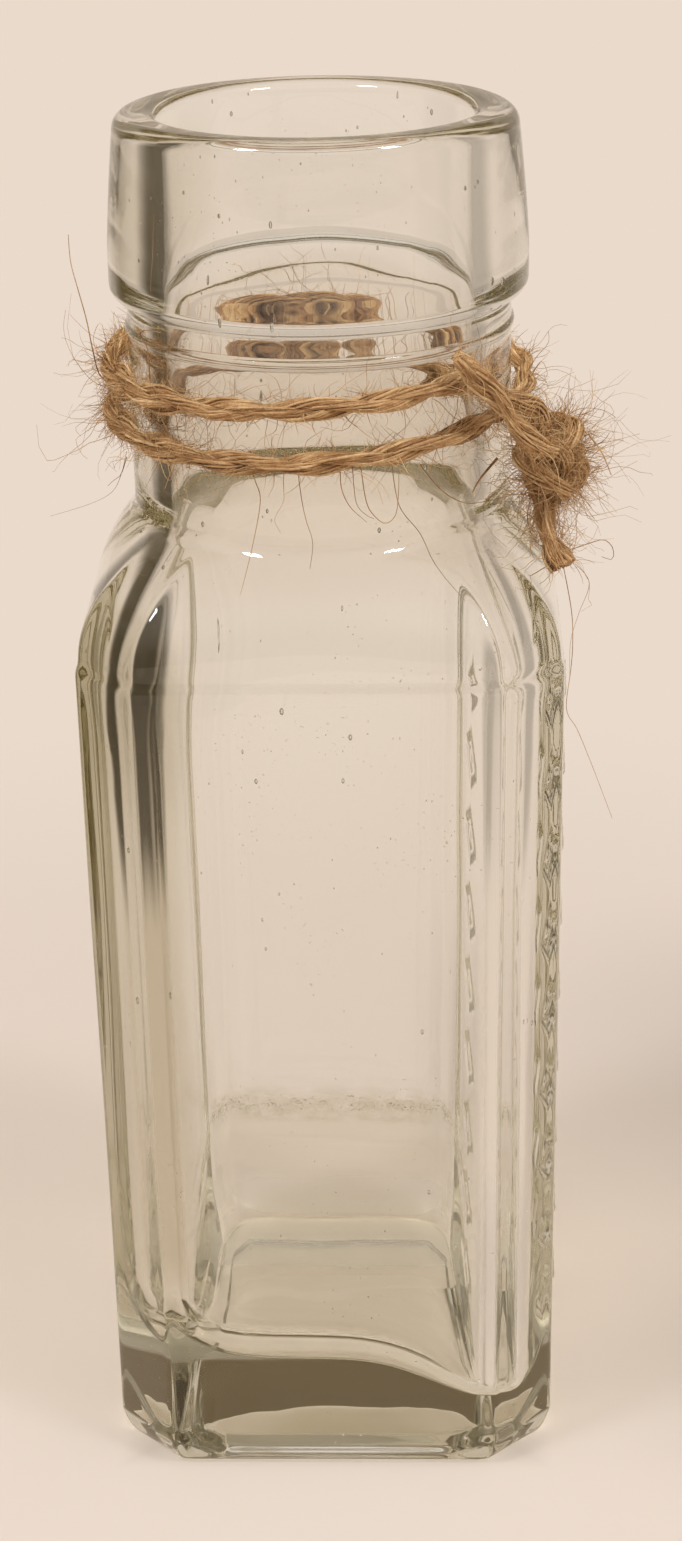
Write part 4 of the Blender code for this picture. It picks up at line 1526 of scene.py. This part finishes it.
@dataclass
class Twine:
    """The jute twine: its winding, its knot, its two free ends and their loose fibres."""

    yarn: Yarn
    bottle: Bottle
    winding_step: float = 0.0051
    winding_top_height: float = 0.1201
    winding_back_rise: float = 0.0033
    winding_clearance: float = 0.00030
    loosened_clearance: float = 0.0003
    winding_waver: float = 0.0001
    waver_waves: tuple = (3, 1.0)
    winding_sway: float = 0.00022
    sway_waves: tuple = (2.3, 0.6)
    winding_start_deg: float = -46.0
    winding_sweep_deg: float = 660.0
    points_per_turn: int = 24
    lead_steps: int = 4
    loosened: float = 0.24
    loosened_least: float = 0.1
    loosened_from: float = -0.009
    loosened_over: tuple = (0.009, 0.010)
    seat_gap: float = 0.0003
    knot_angle_deg: float = -23.0
    knot_height: float = 0.1110
    knot_lobe: float = 0.00142
    knot_crossing: float = 0.0021
    knot_core: float = 0.0036
    knot_points: int = 42
    knot_loops: tuple = ((1.0, 1.0, 30.0), (0.62, 0.75, 95.0))
    start_lead: tuple = (112.0, -0.0010)
    end_lead: tuple = (0.0, -0.0006)
    upper_tail: tuple = (
        (0.02318, -0.01415, 0.11328), (0.02203, -0.01552, 0.11408),
        (0.01990, -0.01630, 0.11640), (0.01760, -0.01720, 0.11980),
        (0.01540, -0.01800, 0.12240), (0.01400, -0.01850, 0.12400),
    )
    lower_tail: tuple = (
        (0.02295, -0.01196, 0.10745), (0.02285, -0.01290, 0.10560),
        (0.02330, -0.01390, 0.10400), (0.02400, -0.01480, 0.10260),
        (0.02460, -0.01540, 0.10170),
    )
    upper_swell: tuple = (1.0, 1.0, 1.0, 1.05, 1.15, 0.95)
    lower_swell: tuple = (1.0, 1.1, 1.3, 1.55, 1.4)
    loose_tone: float = 0.6
    taper: float = 0.55
    loose_sides: int = 5

    def knot_axes(self) -> tuple[Vector, Vector, Vector, Vector]:
        """Return the knot's centre, and its directions outwards, round the neck and up.

        Returns:
            The centre and the three directions.
        """
        angle = math.radians(self.knot_angle_deg)
        out = Vector((math.cos(angle), math.sin(angle), 0))
        along = Vector((-math.sin(angle), math.cos(angle), 0))
        reach = self.bottle.neck_radius + 2 * self.seat_gap + 1.5 * self.yarn.diameter
        reach += self.knot_crossing
        return out * reach + Vector((0, 0, self.knot_height)), out, along, Vector((0, 0, 1))

    def winding_point(self, turned_deg: float) -> Vector:
        """Return a point of the winding, by how far it has turned round the neck.

        Args:
            turned_deg: The turn from the winding's start.

        Returns:
            The point.
        """
        angle = math.radians(self.winding_start_deg - turned_deg)
        way = Vector((math.cos(angle), math.sin(angle), 0))
        radius = self.bottle.neck_radius + self.yarn.diameter / 2 + self.winding_clearance
        radius += self.loosened_clearance * self.thickening(way * radius)
        often, start = self.waver_waves
        radius += self.winding_waver * math.sin(often * angle + start)
        rise = self.winding_back_rise * (1 + math.sin(angle)) / 2
        height = self.winding_top_height - self.winding_step * turned_deg / 360 + rise
        often, start = self.sway_waves
        height += self.winding_sway * math.sin(math.radians(turned_deg) * often + start)
        return Vector((radius * math.cos(angle), radius * math.sin(angle), height))

    def thickening(self, place: Vector) -> float:
        """Return how far the yarn is loosened at a place, 1 at the left of the neck.

        Args:
            place: The place.

        Returns:
            A share between 0 and 1.
        """
        over, back = self.loosened_over
        share = min(1.0, max(0.0, (self.loosened_from - place.x) / over))
        share *= min(1.0, max(0.0, 1 - place.y / back))
        return share * share * (3 - 2 * share)

    def lead(self, angle_deg: float, depth: float) -> tuple[Vector, Vector]:
        """Return a lead's two points at the knot.

        Args:
            angle_deg: Its way out of the knot, from the way round the neck up.
            depth: How far out from the knot's middle.

        Returns:
            A point on the knot's core, and one a diameter away from it.
        """
        center, out, along, up = self.knot_axes()
        angle = math.radians(angle_deg)
        way = along * math.cos(angle) + up * math.sin(angle)
        seat = center + out * depth + way * (self.knot_core + self.seat_gap)
        return seat, seat + way * self.yarn.diameter

    def winding_route(self) -> list[Vector]:
        """Return the winding's points, from the top of the knot twice round the neck.

        Returns:
            The points in order.
        """
        step = 360 / self.points_per_turn
        count = round(self.winding_sweep_deg / step) + 1
        turns = [self.winding_point(i * step) for i in range(count)]
        first, rising = self.lead(*self.start_lead)
        last, nearing = self.lead(*self.end_lead)
        steps = self.lead_steps
        lead_in = smooth_route([first, rising, turns[0], turns[1]], steps)
        lead_out = smooth_route([turns[-2], turns[-1], nearing, last], steps)
        start = [lead_in[0], *lead_in[steps:2 * steps]]
        return [*start, *turns[:-1], *lead_out[steps:2 * steps + 1], last]

    def knot_loop(self, lobe: float, crossing: float, turn_deg: float) -> list[Vector]:
        """Return a closed overhand path round the knot's centre.

        Args:
            lobe: The size of its three lobes.
            crossing: How far in and out its crossings lie.
            turn_deg: How far it is turned in its plane.

        Returns:
            The path's points, the first repeated as the last.
        """
        center, out, along, up = self.knot_axes()
        turn = math.radians(turn_deg)
        route = []
        for index in range(self.knot_points + 1):
            t = TURN * index / self.knot_points
            across = lobe * (math.sin(t) + 2 * math.sin(2 * t))
            rise = lobe * (math.cos(t) - 2 * math.cos(2 * t))
            route.append(
                center - out * crossing * math.sin(3 * t)
                + along * (across * math.cos(turn) - rise * math.sin(turn))
                + up * (across * math.sin(turn) + rise * math.cos(turn))
            )
        return route

    def stretches(self, line: list[Vector]) -> list[list[Vector]]:
        """Return the stretches of a line where the yarn is loosened.

        Args:
            line: The line's points.

        Returns:
            Each stretch's points.
        """
        parts, part = [], []
        for place in [*line, Vector()]:
            if self.thickening(place) > self.loosened_least:
                part.append(place)
            elif part:
                parts.append(part)
                part = []
        return parts

    def keep(
        self, recipe: Recipe, name: str, routes: list[list[Vector]], swells: list[list[float]],
        *nodes: str,
    ) -> Object:
        """Lay a tree along lines as a piece of the twine.

        Args:
            recipe: The tree.
            name: The piece's name.
            routes: The lines' points.
            swells: The "swell" of each point.
            *nodes: The nodes that the piece stands for.

        Returns:
            The piece.
        """
        made = recipe.make(line_mesh(name, routes, swells), name)
        return declare(made, Body.TWINE, Slot.JUTE, *nodes)

    def loose(self, side: str, jute: Material) -> Object:
        """Make the long loose fibres of a side.

        Args:
            side: Which of the fibres' groups.
            jute: The finish.

        Returns:
            The piece.
        """
        name = f"{side}_loose_fibres"
        recipe = Recipe(f"{name}_tubes", jute, point_step=self.yarn.point_step)
        desk = recipe.desk
        share = desk.flow("GeometryNodeSplineParameter", output="Factor")
        along = desk.flow("GeometryNodeSplineParameter", output="Length")
        number = desk.flow("GeometryNodeCurveOfPoint", output="Curve Index")
        swell = desk.flow("GeometryNodeInputNamedAttribute", {"Name": "swell"}, data_type="FLOAT")
        fibre, radius = desk.luck(4, number) * self.loose_tone, swell * (1 - share * self.taper)
        recipe.tubes(recipe.curves(), along, fibre, radius, self.loose_sides)
        fibres = LOOSE_FIBRES[side]
        routes = [[Vector(n / TENTHS for n in p) for p in points] for _, *points in fibres]
        radii = [[radius / HUNDREDTHS] * len(points) for radius, *points in fibres]
        return self.keep(recipe, name, routes, radii)

    def build(self) -> None:
        jute = JuteFinish().material("jute_fibre")
        line = smooth_route(self.winding_route(), 3)
        loops = [
            self.knot_loop(self.knot_lobe * wide, self.knot_crossing * deep, turn_deg)
            for wide, deep, turn_deg in self.knot_loops
        ]
        upper, lower = ([Vector(p) for p in tail] for tail in (self.upper_tail, self.lower_tail))
        thick = [1.0 + self.loosened * self.thickening(p) for p in line]
        winding, *hung = (
            self.keep(self.yarn.recipe(f"{name}_lay", jute), name, lines, swells, node)
            for name, node, lines, swells in (
                ("winding_yarn", "twine_winding", [line], [thick]),
                ("knot_yarn", "twine_knot", loops, [[1.0] * len(loop) for loop in loops]),
                ("upper_tail_yarn", "twine_upper_tail", [upper], [list(self.upper_swell)]),
                ("lower_tail_yarn", "twine_lower_tail", [lower], [list(self.lower_swell)]),
            )
        )
        loosened = Fuzz(800, length=0.0015, lift=0.35, curl=1.3, root=0.0011, seed=401)
        for name, lines, fuzz in (
            ("winding_fuzz", [line], Fuzz(2600, length=0.0018, length_spread=0.0022)),
            ("left_fuzz", self.stretches(line), loosened),
            ("knot_fuzz", loops, Fuzz(2000, length=0.0024, seed=101)),
            ("upper_tail_fuzz", [upper], Fuzz(260, seed=201, root=0.0010)),
            ("lower_tail_fuzz", [lower], Fuzz(260, seed=301, root=0.0012)),
        ):
            recipe = fuzz.recipe(f"{name}_growth", jute, self.bottle)
            swells = [[1.0] * len(route) for route in lines]
            hung.append(self.keep(recipe, name, lines, swells))
        hung += [self.loose(side, jute) for side in LOOSE_FIBRES]
        tuple(line[0])
        round(sum((b - a).length for a, b in zip(line, line[1:])), 4)
        [tuple(p) for p in line]
        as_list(hung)


# Studio


@dataclass(frozen=True)
class Lamp:
    """A soft square lamp."""

    name: str
    azimuth_deg: float
    elevation_deg: float
    distance: float
    width: float
    radiance: float
    color: tuple = (1.0, 0.985, 0.97)


def direction(azimuth: float, lift: float) -> Vector:
    """Return the way from the bottle to a place in front of it, by its two angles."""
    return Vector(
        (math.sin(azimuth) * math.cos(lift), -math.cos(azimuth) * math.cos(lift), math.sin(lift))
    )


@dataclass
class Studio:
    """The paper, the light and the camera."""

    floor_radius: float = 4.0
    floor_height: float = -0.00006
    floor_corners: int = 64
    back_color: tuple = (0.823, 0.701, 0.597)
    top_color: tuple = (0.98, 0.93, 0.88)
    top_heights: tuple = (0.2, 0.8)
    room_color: tuple = (0.24, 0.23, 0.225)
    room_front: tuple = (0.45, 0.92)
    cards: SideCards = SideCards()
    card_edge: tuple = (0.58, 0.82)
    beyond_color: tuple = (0.20, 0.138, 0.068)
    beyond_back: tuple = (-0.1, 0.25)
    beyond_heights: tuple = (0.42, 0.50, 0.86, 0.97)
    world_strength: float = 0.85
    glass_bounces: int = 48
    lamp_aim: float = 0.07
    lamps: tuple = (
        Lamp("left_lamp", -52.0, 55.0, 0.75, 0.11, 42.0),
        Lamp("right_lamp", 54.0, 52.0, 0.80, 0.12, 34.0),
    )
    camera_turns_deg: tuple = (2.0438, 22.4842, -1.0543)
    camera_aim: tuple = (0.002186, 0.070132)
    camera_distance: float = 0.332515
    camera_lens: float = 71.147
    camera_shift: tuple = (-0.00561, 0.01833)

    def lay_paper(self) -> None:
        """Lay the paper under the bottle."""
        count, radius = self.floor_corners, self.floor_radius
        turns = [TURN * i / count for i in range(count)]
        edge = [(radius * math.cos(t), radius * math.sin(t), self.floor_height) for t in turns]
        mesh = bpy.data.meshes.new("paper")
        mesh.from_pydata(edge, [], [tuple(range(count))])
        mesh.materials.append(PaperFinish().material("paper"))
        place_object("paper", mesh)

    def light_room(self) -> None:
        """Light the room: pale above and behind, darker on the camera's side."""
        world = bpy.data.worlds.new("studio")
        bpy.context.scene.world = world
        world.use_nodes = True
        world.node_tree.nodes.clear()
        desk = NodeDesk(world.node_tree)
        x, y, z = desk.parts(desk.flow("ShaderNodeTexCoord", output="Generated"))
        high = z.step(*self.top_heights)
        room: Flow | tuple = self.back_color
        for share, color in (
            ((0 - y).step(*self.room_front) * (1 - high), self.room_color),
            (self.cards.share(x, y, self.card_edge), self.cards.color),
            (high, self.top_color),
            (y.step(*self.beyond_back) * z.within(*self.beyond_heights), self.beyond_color),
        ):
            room = desk.blend(share, room, color)
        seen = desk.flow("ShaderNodeLightPath", output="Is Camera Ray")
        color = desk.blend(seen, room, self.back_color)
        strength = seen * (1 - self.world_strength) + self.world_strength
        light = desk.node("ShaderNodeBackground", {"Color": color, "Strength": strength})
        desk.node("ShaderNodeOutputWorld", {"Surface": light})
        world.cycles.sampling_method = "NONE"

    def hang_lamps(self) -> None:
        """Hang the lamps in front of the bottle, above the camera."""
        for lamp in self.lamps:
            data = bpy.data.lights.new(lamp.name, "AREA")
            data.size = lamp.width
            data.energy = lamp.radiance * math.pi * lamp.width ** 2
            data.color = lamp.color
            made = place_object(lamp.name, data)
            way = direction(math.radians(lamp.azimuth_deg), math.radians(lamp.elevation_deg))
            made.location = Vector((0, 0, self.lamp_aim)) + way * lamp.distance
            made.rotation_euler = way.to_track_quat("Z", "Y").to_euler()
            made.visible_transmission = False

    def set_camera(self) -> None:
        """Set the camera where the photograph was taken from."""
        azimuth, pitch, roll = (math.radians(turn) for turn in self.camera_turns_deg)
        right = Vector((math.cos(azimuth), math.sin(azimuth), 0))
        back = direction(azimuth, pitch)
        up = back.cross(right)
        aside, height = self.camera_aim
        target = Vector((0, 0, height)) + right * aside
        right, up = (
            right * math.cos(roll) + up * math.sin(roll),
            up * math.cos(roll) - right * math.sin(roll),
        )
        data = bpy.data.cameras.new("camera")
        data.sensor_width = 36.0
        data.lens = self.camera_lens
        data.shift_x, data.shift_y = self.camera_shift
        data.clip_start = 0.01
        made = place_object("camera", data)
        turned = Matrix((right, up, back)).transposed().to_4x4()
        made.matrix_world = Matrix.Translation(target + back * self.camera_distance) @ turned
        bpy.context.scene.camera = made

    def build(self) -> None:
        """Set the stage, the light and the camera."""
        self.set_camera()
        self.lay_paper()
        self.light_room()
        self.hang_lamps()
        scene = bpy.context.scene
        scene.view_settings.view_transform = "Standard"
        scene.cycles.max_bounces = self.glass_bounces
        scene.cycles.transmission_bounces = self.glass_bounces
        scene.cycles.glossy_bounces = self.glass_bounces


def main() -> None:
    """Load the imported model, dress it, and set the studio round it."""
    logging.basicConfig(level=logging.INFO, format="%(message)s")
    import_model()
    Studio().build()
    bottle = Bottle()
    bottle.build()
    Twine(Yarn(), bottle).build()


if __name__ == "__main__":
    main()
